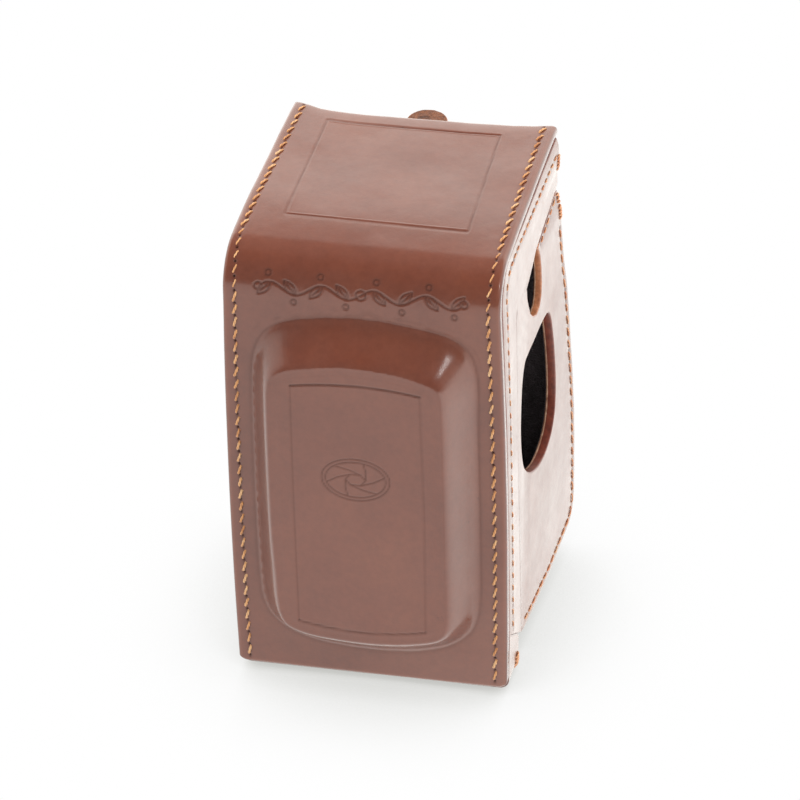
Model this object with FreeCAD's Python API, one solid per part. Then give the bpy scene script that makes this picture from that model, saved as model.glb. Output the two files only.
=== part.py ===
import FreeCAD, Part
import os, math
from FreeCAD import Vector as V

os.makedirs("parts", exist_ok=True)

# ---------------------------------------------------------------------------
# Leather ever-ready case of a 6x6 twin lens reflex camera, in millimetres.
# Working frame used below: X to the right of somebody facing the front,
# Y from the front face to the rear, Z up from the lower edge of the front.
# Every piece is moved at the end, so that the part's own origin is the centre
# of its footprint, on the underside of the base (see Y_MOVE and Z_MOVE).
# ---------------------------------------------------------------------------
W_HALF   = 45.0      # half of the outer width of the front cover
H        = 159.6     # height of the front cover
D        = 94.6      # depth of the front cover
R_TOP    = 16.0      # outer radius where the front turns into the top
R_CORNER = 4.0       # lower corners of the front panel
T_FRONT  = 3.4       # front and top leather
T_SIDE   = 2.6       # side wall leather
T_STIFF  = 1.0       # folded stiffener inside the front corners
T_LINING = 0.5       # black plush lining
GAP      = 0.1       # seam line between neighbouring pieces

BULGE_H  = 11.0      # height of the moulded lens bulge

FOLD_Y0, FOLD_Z0 = 26.0, 5.0      # lower end of a side flap's fold line
FOLD_Y1, FOLD_Z1 = 43.0, 129.5    # upper end, at the tip of the strap notch
FOLD_GAP = 0.25                   # half of the clearance along the fold line

STITCH_PITCH = 4.75
STITCH_LEN   = 3.3
STITCH_W     = 0.95
STITCH_H     = 0.5
SEAM_X       = 41.8  # seam row on the front and top
SIDE_ROW_Y   = 11.0  # seam row on the side walls

REAR_HALF_W  = 41.2  # rear half, outer half width
REAR_Y       = 93.4  # rear half, outer rear face
REAR_TOP     = 152.0 # top of the back wall
T_REAR       = 1.8   # rear half leather
BASE_Z       = -2.4  # underside of the sill and of the rear half's bottom
SOLE_T       = 1.2   # outer sole below them
HINGE_Y      = 21.0  # fold line between front cover and rear half
SCREW_Y      = 58.0
SCREW_R      = 3.175 # 1/4 inch camera screw
NECK_R       = 2.4   # its reduced neck, which holds the circlip and keeps it captive

TAB_X        = 0.0   # closure tab
TAB_W        = 13.6
TAB_TIP_Y    = 106.7
TAB_Z0, TAB_Z1 = 152.2, 153.6
TAB_FOLD_Y   = 93.5

Z_MOVE = -(BASE_Z - SOLE_T)
Y_MOVE = -(TAB_TIP_Y - BULGE_H) / 2.0

nodes = {}


# ------------------------------------------------------------------ helpers
def face_yz(pts, x=0.0):
    w = Part.makePolygon([V(x, p[0], p[1]) for p in pts] + [V(x, pts[0][0], pts[0][1])])
    return Part.Face(w)


def prism_yz(pts, x0, x1):
    return face_yz(pts, x0).extrude(V(x1 - x0, 0, 0))


def spline_prism_yz(pts, x0, x1):
    c = Part.BSplineCurve()
    c.interpolate([V(x0, p[0], p[1]) for p in pts], PeriodicFlag=True)
    return Part.Face(Part.Wire([c.toShape()])).extrude(V(x1 - x0, 0, 0))


def box(x0, x1, y0, y1, z0, z1):
    return Part.makeBox(x1 - x0, y1 - y0, z1 - z0, V(x0, y0, z0))


def arc_pts(cy, cz, r, a0, a1, n):
    return [(cy + r * math.cos(math.radians(a0 + (a1 - a0) * i / n)),
             cz + r * math.sin(math.radians(a0 + (a1 - a0) * i / n))) for i in range(n + 1)]


def band(d1, d2, z0, yend, x0, x1):
    """Sheet between the depths d1 and d2 below the outer front-and-top surface."""
    c = V(x0, R_TOP, H - R_TOP)
    def arc(r, rev):
        a = V(x0, R_TOP - r, H - R_TOP)
        m = V(x0, R_TOP - r * math.sqrt(0.5), H - R_TOP + r * math.sqrt(0.5))
        b = V(x0, R_TOP, H - R_TOP + r)
        return Part.Arc(b, m, a).toShape() if rev else Part.Arc(a, m, b).toShape()
    r1, r2 = R_TOP - d1, R_TOP - d2
    e = [Part.makeLine(V(x0, d1, z0), V(x0, d1, H - R_TOP)), arc(r1, False),
         Part.makeLine(V(x0, R_TOP, H - d1), V(x0, yend, H - d1)),
         Part.makeLine(V(x0, yend, H - d1), V(x0, yend, H - d2)),
         Part.makeLine(V(x0, yend, H - d2), V(x0, R_TOP, H - d2)), arc(r2, True),
         Part.makeLine(V(x0, d2, H - R_TOP), V(x0, d2, z0)),
         Part.makeLine(V(x0, d2, z0), V(x0, d1, z0))]
    return Part.Face(Part.Wire(e)).extrude(V(x1 - x0, 0, 0))


def mirror(s):
    return s.mirror(V(0, 0, 0), V(1, 0, 0))


def one(s):
    s = s.removeSplitter()
    if s.ShapeType == "Solid":
        return s
    sol = sorted(s.Solids, key=lambda q: -q.Volume)
    return sol[0]


def stitch(p, t, n, slant=0.0, length=STITCH_LEN, width=STITCH_W, height=STITCH_H, lift=0.03):
    """A flat-bottomed stitch lying on a surface at p, along t, standing out along n."""
    t = V(t).normalize(); n = V(n).normalize(); b = n.cross(t)
    a = math.radians(slant)
    u = t * math.cos(a) + b * math.sin(a)
    v = n.cross(u)
    p = V(p) + n * lift
    pts = [p - u * (length / 2), p - u * (length * .3) - v * (width / 2), p + u * (length * .3) - v * (width / 2),
           p + u * (length / 2), p + u * (length * .3) + v * (width / 2), p - u * (length * .3) + v * (width / 2)]
    return Part.Face(Part.makePolygon(pts + [pts[0]])).extrude(n * height)


def run_along(pts, pitch):
    """Evenly spaced (point, tangent) pairs along a polyline of 2-D points."""
    seg, total = [], 0.0
    for a, b in zip(pts[:-1], pts[1:]):
        L = math.hypot(b[0] - a[0], b[1] - a[1])
        seg.append((a, b, total, L)); total += L
    n = max(1, int(round(total / pitch)))
    out = []
    for i in range(n):
        s = (i + 0.5) * total / n
        for a, b, s0, L in seg:
            if s <= s0 + L + 1e-9:
                f = (s - s0) / L
                out.append(((a[0] + (b[0] - a[0]) * f, a[1] + (b[1] - a[1]) * f),
                            ((b[0] - a[0]) / L, (b[1] - a[1]) / L)))
                break
    return out


# ------------------------------------------- front and top leather, lens bulge
BASE_OUT = [(0, 9.9), (11.9, 10.0), (17, 11.9), (25, 14.4), (32.6, 19.6), (36.2, 26.4), (37.3, 39.5), (37.8, 53),
            (38.6, 80), (38.5, 108), (37.8, 121), (35, 128), (30, 133.7), (24, 136.2), (8.5, 139), (0, 139.2)]
PLATEAU = [(0, 21), (12, 21.6), (22, 23.4), (26, 25.5), (28, 29), (28.5, 36), (28.5, 108), (28.2, 117),
           (26.5, 121.3), (22, 123.3), (12, 125.3), (0, 126)]
BULGE_C = (0.0, 74.0)


def radial(half, n, inset):
    full = half + [(-x, z) for x, z in reversed(half[1:-1])]
    m = len(full); out = []
    for k in range(n):
        a = 2 * math.pi * k / n
        dx, dz = math.cos(a), math.sin(a)
        best = 0.0
        for i in range(m):
            x1, z1 = full[i]; x2, z2 = full[(i + 1) % m]
            x1 -= BULGE_C[0]; x2 -= BULGE_C[0]; z1 -= BULGE_C[1]; z2 -= BULGE_C[1]
            ex, ez = x2 - x1, z2 - z1
            det = dx * (-ez) + dz * ex
            if abs(det) < 1e-9:
                continue
            r = (x1 * (-ez) + z1 * ex) / det
            u = (dx * z1 - dz * x1) / det
            if r > 0 and -1e-9 <= u <= 1 + 1e-9:
                best = max(best, r)
        x, z = best * dx, best * dz
        # inset measured square to the outline's long sides
        sx = (abs(x) - inset) / abs(x) if abs(x) > inset else 0.0
        sz = (abs(z) - inset) / abs(z) if abs(z) > inset else 0.0
        out.append((BULGE_C[0] + x * sx, BULGE_C[1] + z * sz))
    return out


def bulge_solid(inset_base, inset_top, y_in, y_face, y_top, n=44):
    ws = []
    for half, ins, y in ((BASE_OUT, inset_base, y_in), (BASE_OUT, inset_base, y_face), (PLATEAU, inset_top, y_top)):
        p = radial(half, n, ins)
        ws.append(Part.makePolygon([V(a, y, b) for a, b in p] + [V(p[0][0], y, p[0][1])]))
    return Part.makeLoft(ws, True, True)


outline = Part.Wire([
    Part.makeLine(V(-W_HALF, -30, 200), V(-W_HALF, -30, R_CORNER)),
    Part.Arc(V(-W_HALF, -30, R_CORNER), V(-W_HALF + R_CORNER * (1 - math.sqrt(.5)), -30, R_CORNER * (1 - math.sqrt(.5))),
             V(-W_HALF + R_CORNER, -30, 0)).toShape(),
    Part.makeLine(V(-W_HALF + R_CORNER, -30, 0), V(W_HALF - R_CORNER, -30, 0)),
    Part.Arc(V(W_HALF - R_CORNER, -30, 0), V(W_HALF - R_CORNER * (1 - math.sqrt(.5)), -30, R_CORNER * (1 - math.sqrt(.5))),
             V(W_HALF, -30, R_CORNER)).toShape(),
    Part.makeLine(V(W_HALF, -30, R_CORNER), V(W_HALF, -30, 200)),
    Part.makeLine(V(W_HALF, -30, 200), V(-W_HALF, -30, 200))])
rounded = Part.Face(outline).extrude(V(0, 200, 0))

panel = band(0, T_FRONT, 0, D, -W_HALF, W_HALF).common(rounded)
panel = panel.fuse(bulge_solid(0, 0, 0.6, 0, -BULGE_H))
panel = panel.cut(bulge_solid(3.0, 2.4, T_FRONT + 2, T_FRONT, -BULGE_H + 3.0))
nodes["front_top_panel"] = one(panel)

LEG_X = 36.5
lin = band(T_FRONT, T_FRONT + T_LINING, 12.6, D - 1.5, -(LEG_X - .2), LEG_X - .2)
dome = bulge_solid(3.0, 2.4, T_FRONT + .3, T_FRONT, -BULGE_H + 3.0)
lin = lin.fuse(dome).cut(bulge_solid(3.5, 2.9, T_FRONT + 3, T_FRONT + T_LINING, -BULGE_H + 3.5))
nodes["front_top_lining"] = one(lin)


# ----------------------------------------------------------------- side walls
REAR_EDGE_X = [(0, 49.2), (8.5, 49.6), (14.7, 49.6), (27, 49.8), (39.2, 49.9), (51.2, 49.8), (63.2, 49.6), (75.1, 49.1),
               (86.9, 48.6), (98.6, 47.9), (110.3, 47.1), (121.8, 46.3), (133.3, 45.5), (139, 45.2)]
KNOB_OPENING = [(70.3, 103), (61.4, 104.6), (51.5, 103.9), (43, 103.4), (36.1, 103.1), (32.8, 96.3), (30.6, 84.1),
                (31.1, 72.1), (34.5, 66), (40.3, 59.8), (47, 56.3), (54, 54.9), (61.4, 55.7), (67.9, 58.6), (72.3, 66),
                (73.8, 74.3), (73.7, 82.2), (71.9, 93.2)]
STRAP_NOTCH = [(61.2, 133.9), (42.7, 129.4), (44.1, 122.6), (47, 117), (52.0, 112.5), (55.5, 111.4), (59.3, 112.0),
               (61.8, 114.4), (63.2, 118.5), (63.4, 124.2)]
SLIT = [(60.0, 133.0), (60.0, 134.2), (75, 135.2), (97, 137.6), (97, 133.9), (75, 133.7)]
r_in = R_TOP - T_FRONT - GAP
WALL = [(T_FRONT + GAP, 19.0)] + arc_pts(R_TOP, H - R_TOP, r_in, 180, 90, 12) + \
       [(93.9, H - T_FRONT - GAP), (93.2, 146), (92.8, 138), (94.2, 132), (94.6, 124), (94.6, 19)] + \
       arc_pts(84.6, 17.5, 10.0, 0, -75, 8) + \
       [(76, 6.4), (64, 4.9), (45, 4.4), (27, 4.4), (22, 7.4), (16.5, 10.8), (9, 15.6)]


def fold_y(z):
    return FOLD_Y0 + (FOLD_Y1 - FOLD_Y0) * (z - FOLD_Z0) / (FOLD_Z1 - FOLD_Z0)


def rear_x(z):
    t = REAR_EDGE_X
    if z <= t[0][0]: return t[0][1]
    if z >= t[-1][0]: return t[-1][1]
    for (a, xa), (b, xb) in zip(t[:-1], t[1:]):
        if a <= z <= b:
            return xa + (xb - xa) * (z - a) / (b - a)


def wall_x(y, z):
    """Outer surface of the side wall, flared behind the fold line."""
    f = fold_y(z)
    if y <= f or z > 134.5:
        return W_HALF
    return W_HALF + (rear_x(z) - W_HALF) * (y - f) / (D - f)


def openings(x0, x1):
    return spline_prism_yz(KNOB_OPENING, x0, x1).fuse(prism_yz(STRAP_NOTCH, x0, x1)).fuse(prism_yz(SLIT, x0, x1))


def front_side(margin):
    """Region in front of the fold line, and everything above the slit."""
    k = (FOLD_Y1 - FOLD_Y0) / (FOLD_Z1 - FOLD_Z0)
    zb, zt = -10.0, 131.5
    return [(-5, zb), (fold_y(zb) - margin, zb), (fold_y(zt) - margin, zt), (44.5, 131.5), (60.5, 133.8), (75, 134.4),
            (110, 135.6), (110, 170), (-5, 170)]


def flap_side(margin):
    zb, zt = -10.0, 131.5
    return [(fold_y(zb) + margin, zb), (fold_y(zt) + margin, zt), (60.5, 133.4), (75, 134.0), (110, 135.0), (110, zb)]


def inset_poly(pts, c, d):
    out = []
    for y, z in pts:
        L = math.hypot(y - c[0], z - c[1])
        out.append((c[0] + (y - c[0]) * (L - d) / L, c[1] + (z - c[1]) * (L - d) / L))
    return out


def flared_slab(o1, o2):
    """Slab that follows the flared flap, between the depths o1 and o2 below its outer face."""
    ws = []
    for z in (-2, 14.7, 27, 39.2, 51.2, 63.2, 75.1, 86.9, 98.6, 110.3, 121.8, 138):
        f = fold_y(z) - 0.5
        xr = wall_x(D, min(z, 134.0)); s = (xr - W_HALF) / (D - fold_y(z)); y2 = 97.0
        x2 = W_HALF + s * (y2 - f)
        ws.append(Part.makePolygon([V(W_HALF - o1, f, z), V(x2 - o1, y2, z), V(x2 - o2, y2, z), V(W_HALF - o2, f, z),
                                    V(W_HALF - o1, f, z)]))
    return Part.makeLoft(ws, True, True)


wall = prism_yz(WALL, 30, 60)
open_ = openings(30, 60)
fixed = wall.common(prism_yz(front_side(FOLD_GAP), 30, 60)).cut(open_)
flap = wall.common(prism_yz(flap_side(FOLD_GAP), 30, 60)).cut(open_)

side_panel = one(fixed.common(box(W_HALF - T_SIDE, W_HALF, -5, 120, -5, 170)))
wing = one(flap.common(flared_slab(0, T_SIDE)))
lin_out = prism_yz(inset_poly(WALL, (50, 78), 1.2), 30, 60)
grow = openings(30, 60)
wing_lin = one(flap.common(lin_out).common(flared_slab(T_SIDE + .02, T_SIDE + .02 + T_LINING)))

# folded stiffener: one leg behind the front and top leather, one leg on the side wall
STIFF_LEG = [(-5, -5), (25.4, -5), (25.4, 128.0), (28.5, 131.0), (110, 139.0), (110, 175), (-5, 175)]
x_leg_b = W_HALF - T_SIDE - T_STIFF
leg_a = band(T_FRONT, T_FRONT + T_STIFF, .2, D - 1.0, LEG_X, W_HALF - T_SIDE)
leg_b = band(T_FRONT, 60, .2, D - 1.0, x_leg_b, W_HALF - T_SIDE)
core = Part.Face(Part.Wire([
    Part.makeLine(V(30, T_FRONT, .2), V(30, T_FRONT, H - R_TOP)),
    Part.Arc(V(30, T_FRONT, H - R_TOP), V(30, R_TOP - (R_TOP - T_FRONT) * math.sqrt(.5), H - R_TOP + (R_TOP - T_FRONT) * math.sqrt(.5)),
             V(30, R_TOP, H - T_FRONT)).toShape(),
    Part.makeLine(V(30, R_TOP, H - T_FRONT), V(30, D - 1.0, H - T_FRONT)),
    Part.makeLine(V(30, D - 1.0, H - T_FRONT), V(30, D - 1.0, .2)),
    Part.makeLine(V(30, D - 1.0, .2), V(30, T_FRONT, .2))])).extrude(V(30, 0, 0))
leg_region = core.common(prism_yz(STIFF_LEG, 30, 60))
leg_b = leg_region.common(box(x_leg_b, W_HALF - T_SIDE, -5, 120, -5, 175))
stiff = one(leg_a.fuse(leg_b))

# lining of the fixed part of the side wall
lip = band(T_FRONT, T_FRONT + T_STIFF + .1, -5, 120, 30, 60)
lx0 = x_leg_b - T_LINING
slab1 = leg_region.common(box(lx0, x_leg_b, -5, 120, 12.6, 175)).cut(lip)
rest = fixed.common(lin_out).cut(leg_region).cut(prism_yz(STIFF_LEG, 30, 60))
slab2 = rest.common(box(lx0, W_HALF - T_SIDE, -5, 120, 12.6, 175))
side_lin = one(slab1.fuse(slab2))

for side, f in (("right", lambda s: s), ("left", mirror)):
    nodes[side + "_side_panel"] = f(side_panel)
    nodes[side + "_wing"] = f(wing)
    nodes[side + "_wing_lining"] = f(wing_lin)
    nodes[side + "_corner_stiffener"] = f(stiff)
    nodes[side + "_side_lining"] = f(side_lin)

# ----------------------------------------------------- sill at the lower front
SILL_REAR = 19.5
plate = box(-W_HALF, W_HALF, T_FRONT + GAP, SILL_REAR, BASE_Z, -.2)
for sx in (-1, 1):
    plate = plate.cut(box(sx * W_HALF - 2.5, sx * W_HALF + 2.5, SILL_REAR - 2.5, SILL_REAR + 1, -9, 9).cut(
        Part.makeCylinder(2.5, 18, V(sx * (W_HALF - 2.5), SILL_REAR - 2.5, -9))))
END = [(T_FRONT + GAP, -1.0), (SILL_REAR, -1.0), (SILL_REAR, 8.6), (16.5, 10.5), (9, 15.3), (T_FRONT + GAP, 18.7)]
end = prism_yz(END, W_HALF - T_SIDE + .02, W_HALF)
front_lip = box(-(LEG_X - .3), LEG_X - .3, T_FRONT + .02, T_FRONT + 1.5, -1.0, 12.2)
nodes["bottom_sill"] = one(plate.fuse(end).fuse(mirror(end)).fuse(front_lip))

# ------------------------------------------------- rear half of the case
def l_band(d1, d2, y0, ztop, x0, x1, rb=10.0):
    cy, cz = REAR_Y - rb, BASE_Z + rb
    s = math.sqrt(.5)
    def arc(r, rev):
        a, m, b = V(x0, cy, cz - r), V(x0, cy + r * s, cz - r * s), V(x0, cy + r, cz)
        return Part.Arc(b, m, a).toShape() if rev else Part.Arc(a, m, b).toShape()
    r1, r2 = rb - d1, rb - d2
    e = [Part.makeLine(V(x0, y0, cz - r1), V(x0, cy, cz - r1)), arc(r1, False),
         Part.makeLine(V(x0, cy + r1, cz), V(x0, cy + r1, ztop)),
         Part.makeLine(V(x0, cy + r1, ztop), V(x0, cy + r2, ztop)),
         Part.makeLine(V(x0, cy + r2, ztop), V(x0, cy + r2, cz)), arc(r2, True),
         Part.makeLine(V(x0, cy, cz - r2), V(x0, y0, cz - r2)),
         Part.makeLine(V(x0, y0, cz - r2), V(x0, y0, cz - r1))]
    return Part.Face(Part.Wire(e)).extrude(V(x1 - x0, 0, 0))


def back_outline(margin, ztop):
    """Outline of the back wall, narrower towards its top."""
    w = REAR_HALF_W - margin
    half = [(w, -20), (w, 80), (w - .6, 90), (w - 1.9, 102), (w - 2.8, 112), (w - 2.8, ztop - 10)]
    half += [(w - 12.8 + 10 * math.cos(math.radians(a)), ztop - 10 + 10 * math.sin(math.radians(a))) for a in range(10, 91, 10)]
    pts = half + [(-x, z) for x, z in reversed(half)]
    return Part.Face(Part.makePolygon([V(x, 10, z) for x, z in pts] + [V(pts[0][0], 10, pts[0][1])])).extrude(V(0, 100, 0))


REAR_FRONT_Y = 22.2
cyl = lambda r, z0, z1, y=SCREW_Y, x=0.0: Part.makeCylinder(r, z1 - z0, V(x, y, z0))
RIVETS = [(13.3 * math.cos(math.radians(a)), SCREW_Y + 13.3 * math.sin(math.radians(a))) for a in (90, 210, 330)]
rear = l_band(0, T_REAR, REAR_FRONT_Y, REAR_TOP, -REAR_HALF_W, REAR_HALF_W).common(back_outline(0, REAR_TOP))
rear = rear.cut(cyl(11.6, -9, 3))
for x, y in RIVETS:
    rear = rear.cut(cyl(.95, -9, 3, y, x))
nodes["rear_panel"] = one(rear)

GUSSET_TOP = 28.0
ri = 10.0 - T_REAR
GUSSET = [(27.6, BASE_Z + T_REAR), (27.6, 7), (30, 13), (36, 19.5), (46, 24.5), (58, GUSSET_TOP - .6), (70, GUSSET_TOP),
          (REAR_Y - T_REAR, GUSSET_TOP)] + arc_pts(REAR_Y - 10, BASE_Z + 10, ri, 0, -90, 8)
gus = prism_yz(GUSSET, REAR_HALF_W - T_REAR + .2, REAR_HALF_W)
gus_lin = prism_yz(GUSSET, REAR_HALF_W - T_REAR + .2 - T_LINING, REAR_HALF_W - T_REAR + .18)
nodes["right_rear_gusset"] = gus
nodes["left_rear_gusset"] = mirror(gus)
nodes["right_gusset_lining"] = gus_lin
nodes["left_gusset_lining"] = mirror(gus_lin)
xl = REAR_HALF_W - T_REAR + .2 - T_LINING - .05
rl = l_band(T_REAR, T_REAR + T_LINING, REAR_FRONT_Y + 1, REAR_TOP - .6, -xl, xl)
rl = rl.fuse(box(-REAR_HALF_W, REAR_HALF_W, REAR_Y - T_REAR - T_LINING, REAR_Y - T_REAR, GUSSET_TOP + .2, REAR_TOP - .6))
rl = rl.common(back_outline(.3, REAR_TOP - .6)).cut(cyl(15.3, -9, 6))
nodes["rear_lining"] = one(rl)

# outer sole: its front part is the hinge strip on the sill
SOLE_X = 33.0
SOLE_REAR = 84.0
def plate_rounded(x, y0, y1, z0, z1, r, front, back):
    p = box(-x, x, y0, y1, z0, z1)
    for sx in (-1, 1):
        for yy, on, s in ((y0, front, 1), (y1, back, -1)):
            if on:
                p = p.cut(box(min(sx * x, sx * (x - r)), max(sx * x, sx * (x - r)), min(yy, yy + s * r), max(yy, yy + s * r), z0 - 1, z1 + 1)
                          .cut(Part.makeCylinder(r, z1 - z0 + 2, V(sx * (x - r), yy + s * r, z0 - 1))))
    return p
nodes["hinge_strip"] = plate_rounded(SOLE_X, 7.0, HINGE_Y - .3, BASE_Z - SOLE_T, BASE_Z, 4.0, True, False)
nodes["base_sole"] = plate_rounded(SOLE_X, HINGE_Y + .3, SOLE_REAR, BASE_Z - SOLE_T, BASE_Z, 6.0, False, True).cut(cyl(11.6, -9, 3))

# camera screw, its retainer, circlip and rivets
head = cyl(11.0, BASE_Z - SOLE_T + .3, -.9).cut(box(-12, 12, SCREW_Y - .9, SCREW_Y + .9, -9, BASE_Z - SOLE_T + 1.5))
screw = head.fuse(cyl(NECK_R, -1.2, 1.4)).fuse(cyl(SCREW_R, 1.2, 5.4))
screw = screw.cut(Part.makeCylinder(SCREW_R + 1, 1.0, V(0, SCREW_Y, 4.8)).cut(
    Part.makeCone(SCREW_R, SCREW_R - .6, .6, V(0, SCREW_Y, 4.8))))
nodes["camera_screw"] = one(screw)
nodes["screw_retainer"] = cyl(15.0, -.6, .1).cut(cyl(3.3, -2, 2))
for x, y in RIVETS:
    nodes["screw_retainer"] = nodes["screw_retainer"].cut(cyl(.95, -2, 2, y, x))
nodes["screw_circlip"] = cyl(5.0, .35, .95).cut(cyl(NECK_R + .01, -2, 2)).cut(box(-1.2, 1.2, SCREW_Y, SCREW_Y + 9, -2, 4))
nodes["retainer_rivets"] = Part.makeCompound([
    cyl(.93, BASE_Z, .1, y, x).fuse(cyl(1.6, .12, .55, y, x)).fuse(cyl(.93, .05, .2, y, x)).removeSplitter() for x, y in RIVETS])

STUD_Y = 84.3       # centre of the press stud

# closure tab: fixed root under the lid, moving end behind it, press-stud halves
tx0, tx1 = TAB_X - TAB_W / 2, TAB_X + TAB_W / 2
root = box(tx0 - 2, tx1 + 2, STUD_Y - 6.8, TAB_FOLD_Y - .3, TAB_Z0, TAB_Z1).fuse(
    box(tx0 - 2, tx1 + 2, REAR_Y - T_REAR - T_LINING - 1.4, REAR_Y - T_REAR - T_LINING - .05, 138, TAB_Z1))
root = root.cut(box(tx0 - 3, tx1 + 3, REAR_Y - T_REAR - T_LINING - .05, 99, 130, TAB_Z0))
root = root.cut(cyl(4.0, 140, 160, STUD_Y, TAB_X))
nodes["closure_tab_root"] = one(root)
rt = TAB_W / 2
nodes["closure_tab"] = one(box(tx0, tx1, TAB_FOLD_Y + .3, TAB_TIP_Y - rt, TAB_Z0, TAB_Z1).fuse(
    Part.makeCylinder(rt, TAB_Z1 - TAB_Z0, V(TAB_X, TAB_TIP_Y - rt, TAB_Z0))).cut(
    box(tx0 - 1, tx1 + 1, TAB_FOLD_Y - 5, TAB_FOLD_Y + .3, TAB_Z0 - 1, TAB_Z1 + 1)))
nodes["closure_socket"] = one(cyl(4.0, TAB_Z0 - .4, TAB_Z1, STUD_Y, TAB_X).fuse(cyl(5.2, TAB_Z0 - .8, TAB_Z0 - .02, STUD_Y, TAB_X))
                              .cut(cyl(2.3, 140, 160, STUD_Y, TAB_X)))
lid_in = H - T_FRONT - T_LINING
nodes["lid_stud"] = one(cyl(4.6, lid_in - .7, lid_in - .02, STUD_Y, TAB_X).fuse(cyl(2.0, lid_in - 1.75, lid_in - .6, STUD_Y, TAB_X)))

# -------------------------------------------------------------------- thread
n_front = [p for p in run_along([(2.5, 0), (H - R_TOP, 0)], STITCH_PITCH)]
row = []
for (z, _), _t in n_front:
    row.append(stitch((SEAM_X, 0, z), (0, 0, 1), (0, -1, 0), 16))
na = 5
for i in range(na):
    a = math.radians(180 - 90 * (i + .5) / na)
    n = V(0, math.cos(a), math.sin(a)); p = V(SEAM_X, R_TOP, H - R_TOP) + n * R_TOP
    row.append(stitch(p, (0, math.sin(a), -math.cos(a)), n, -16))
for (y, _), _t in run_along([(R_TOP + .5, 0), (92.5, 0)], STITCH_PITCH):
    row.append(stitch((SEAM_X, y, H), (0, 1, 0), (0, 0, 1), -20))
seam = Part.makeCompound(row)
nodes["right_front_seam_thread"] = seam
nodes["left_front_seam_thread"] = mirror(seam)

SIDE_PATH = [(SIDE_ROW_Y, 16.5), (SIDE_ROW_Y, 142)] + arc_pts(19.5, 143.0, 8.6, 180, 90, 6) + [(26, 151.8), (90.5, 151.0)]
side_row = Part.makeCompound([stitch((W_HALF, p[0], p[1]), (0, t[0], t[1]), (1, 0, 0), 8, 2.9, .8, .4)
                              for p, t in run_along(SIDE_PATH, STITCH_PITCH)])
nodes["right_side_seam_thread"] = side_row
nodes["left_side_seam_thread"] = mirror(side_row)

EDGE_PATH = [(30, 7.2), (45, 7.1), (62, 7.5), (76, 9.1)] + arc_pts(84.0, 17.6, 7.6, -72, 0, 6) + [(91.7, 122)]
SLIT_PATH = [(90.0, 131.6), (66.0, 131.0)]
def on_wing(path, pitch):
    out = []
    for p, t in run_along(path, pitch):
        y, z = p
        e = .5
        dy = (wall_x(y + e, z) - wall_x(y - e, z)) / (2 * e)
        dz = (wall_x(y, z + e) - wall_x(y, z - e)) / (2 * e)
        n = V(1, -dy, -dz); n.normalize()
        tt = V(dy * t[0] + dz * t[1], t[0], t[1]); tt.normalize()
        out.append(stitch((wall_x(y, z), y, z), tt, n, 8, 2.9, .8, .4, .2))
    return out
wing_row = Part.makeCompound(on_wing(EDGE_PATH, STITCH_PITCH) + on_wing(SLIT_PATH, STITCH_PITCH))
nodes["right_wing_thread"] = wing_row
nodes["left_wing_thread"] = mirror(wing_row)

# bar tacks: a few turns of thread lying side by side over an edge
tack_w = Part.makeCompound([stitch((wall_x(91.8, z), 91.8, z), (0, 1, .1), (1, -.01, .06), 0, 4.4, .9, .8, .12)
                            for z in (123.5, 124.6, 125.7, 126.8, 127.9)])
tack_s = Part.makeCompound([stitch((W_HALF, 90.4, z), (0, 1, -.15), (1, 0, 0), 0, 4.4, .9, .8, .05)
                            for z in (144.2, 145.3, 146.4, 147.5)])
sill_t = Part.makeCompound([stitch((W_HALF, 17.2, z), (0, 1, .2), (1, 0, 0), 0, 3.6, .9, .7, .05) for z in (.4, 1.5, 2.6, 3.7)])
nodes["right_wing_tack"] = tack_w
nodes["left_wing_tack"] = mirror(tack_w)
nodes["right_strip_tack"] = tack_s
nodes["left_strip_tack"] = mirror(tack_s)
nodes["sill_tacks"] = Part.makeCompound([sill_t, mirror(sill_t)])

# rows on the rear half: back wall edge, tab root, sole
rear_rows = []
for sx in (-1, 1):
    path = [(sx * (REAR_HALF_W - 3.5), 12), (sx * (REAR_HALF_W - 3.5), 80), (sx * (REAR_HALF_W - 6.3), 112),
            (sx * (REAR_HALF_W - 6.3), 141)]
    for p, t in run_along(path, STITCH_PITCH):
        rear_rows.append(stitch((p[0], REAR_Y, p[1]), (t[0], 0, t[1]), (0, 1, 0), 12 * sx))
for p, t in run_along([(-28, 148.6), (28, 148.6)], STITCH_PITCH):
    rear_rows.append(stitch((p[0], REAR_Y, p[1]), (t[0], 0, t[1]), (0, 1, 0), 12))
nodes["rear_panel_thread"] = Part.makeCompound(rear_rows)

for k in list(nodes):
    s = nodes[k].copy()
    s.translate(V(0, Y_MOVE, Z_MOVE))
    for q in s.Solids:
        assert q.isValid() and q.isClosed() and q.Volume > 0, k
    assert len(s.Solids) >= 1, k
    s.exportStep("parts/%s.step" % k)
    b = s.BoundBox
    print("%-26s solids %3d vol %9.1f  x %7.2f %7.2f  y %7.2f %7.2f  z %7.2f %7.2f" % (
        k, len(s.Solids), s.Volume, b.XMin, b.XMax, b.YMin, b.YMax, b.ZMin, b.ZMax))
print("moves", Y_MOVE, Z_MOVE, "nodes", len(nodes))
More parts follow.
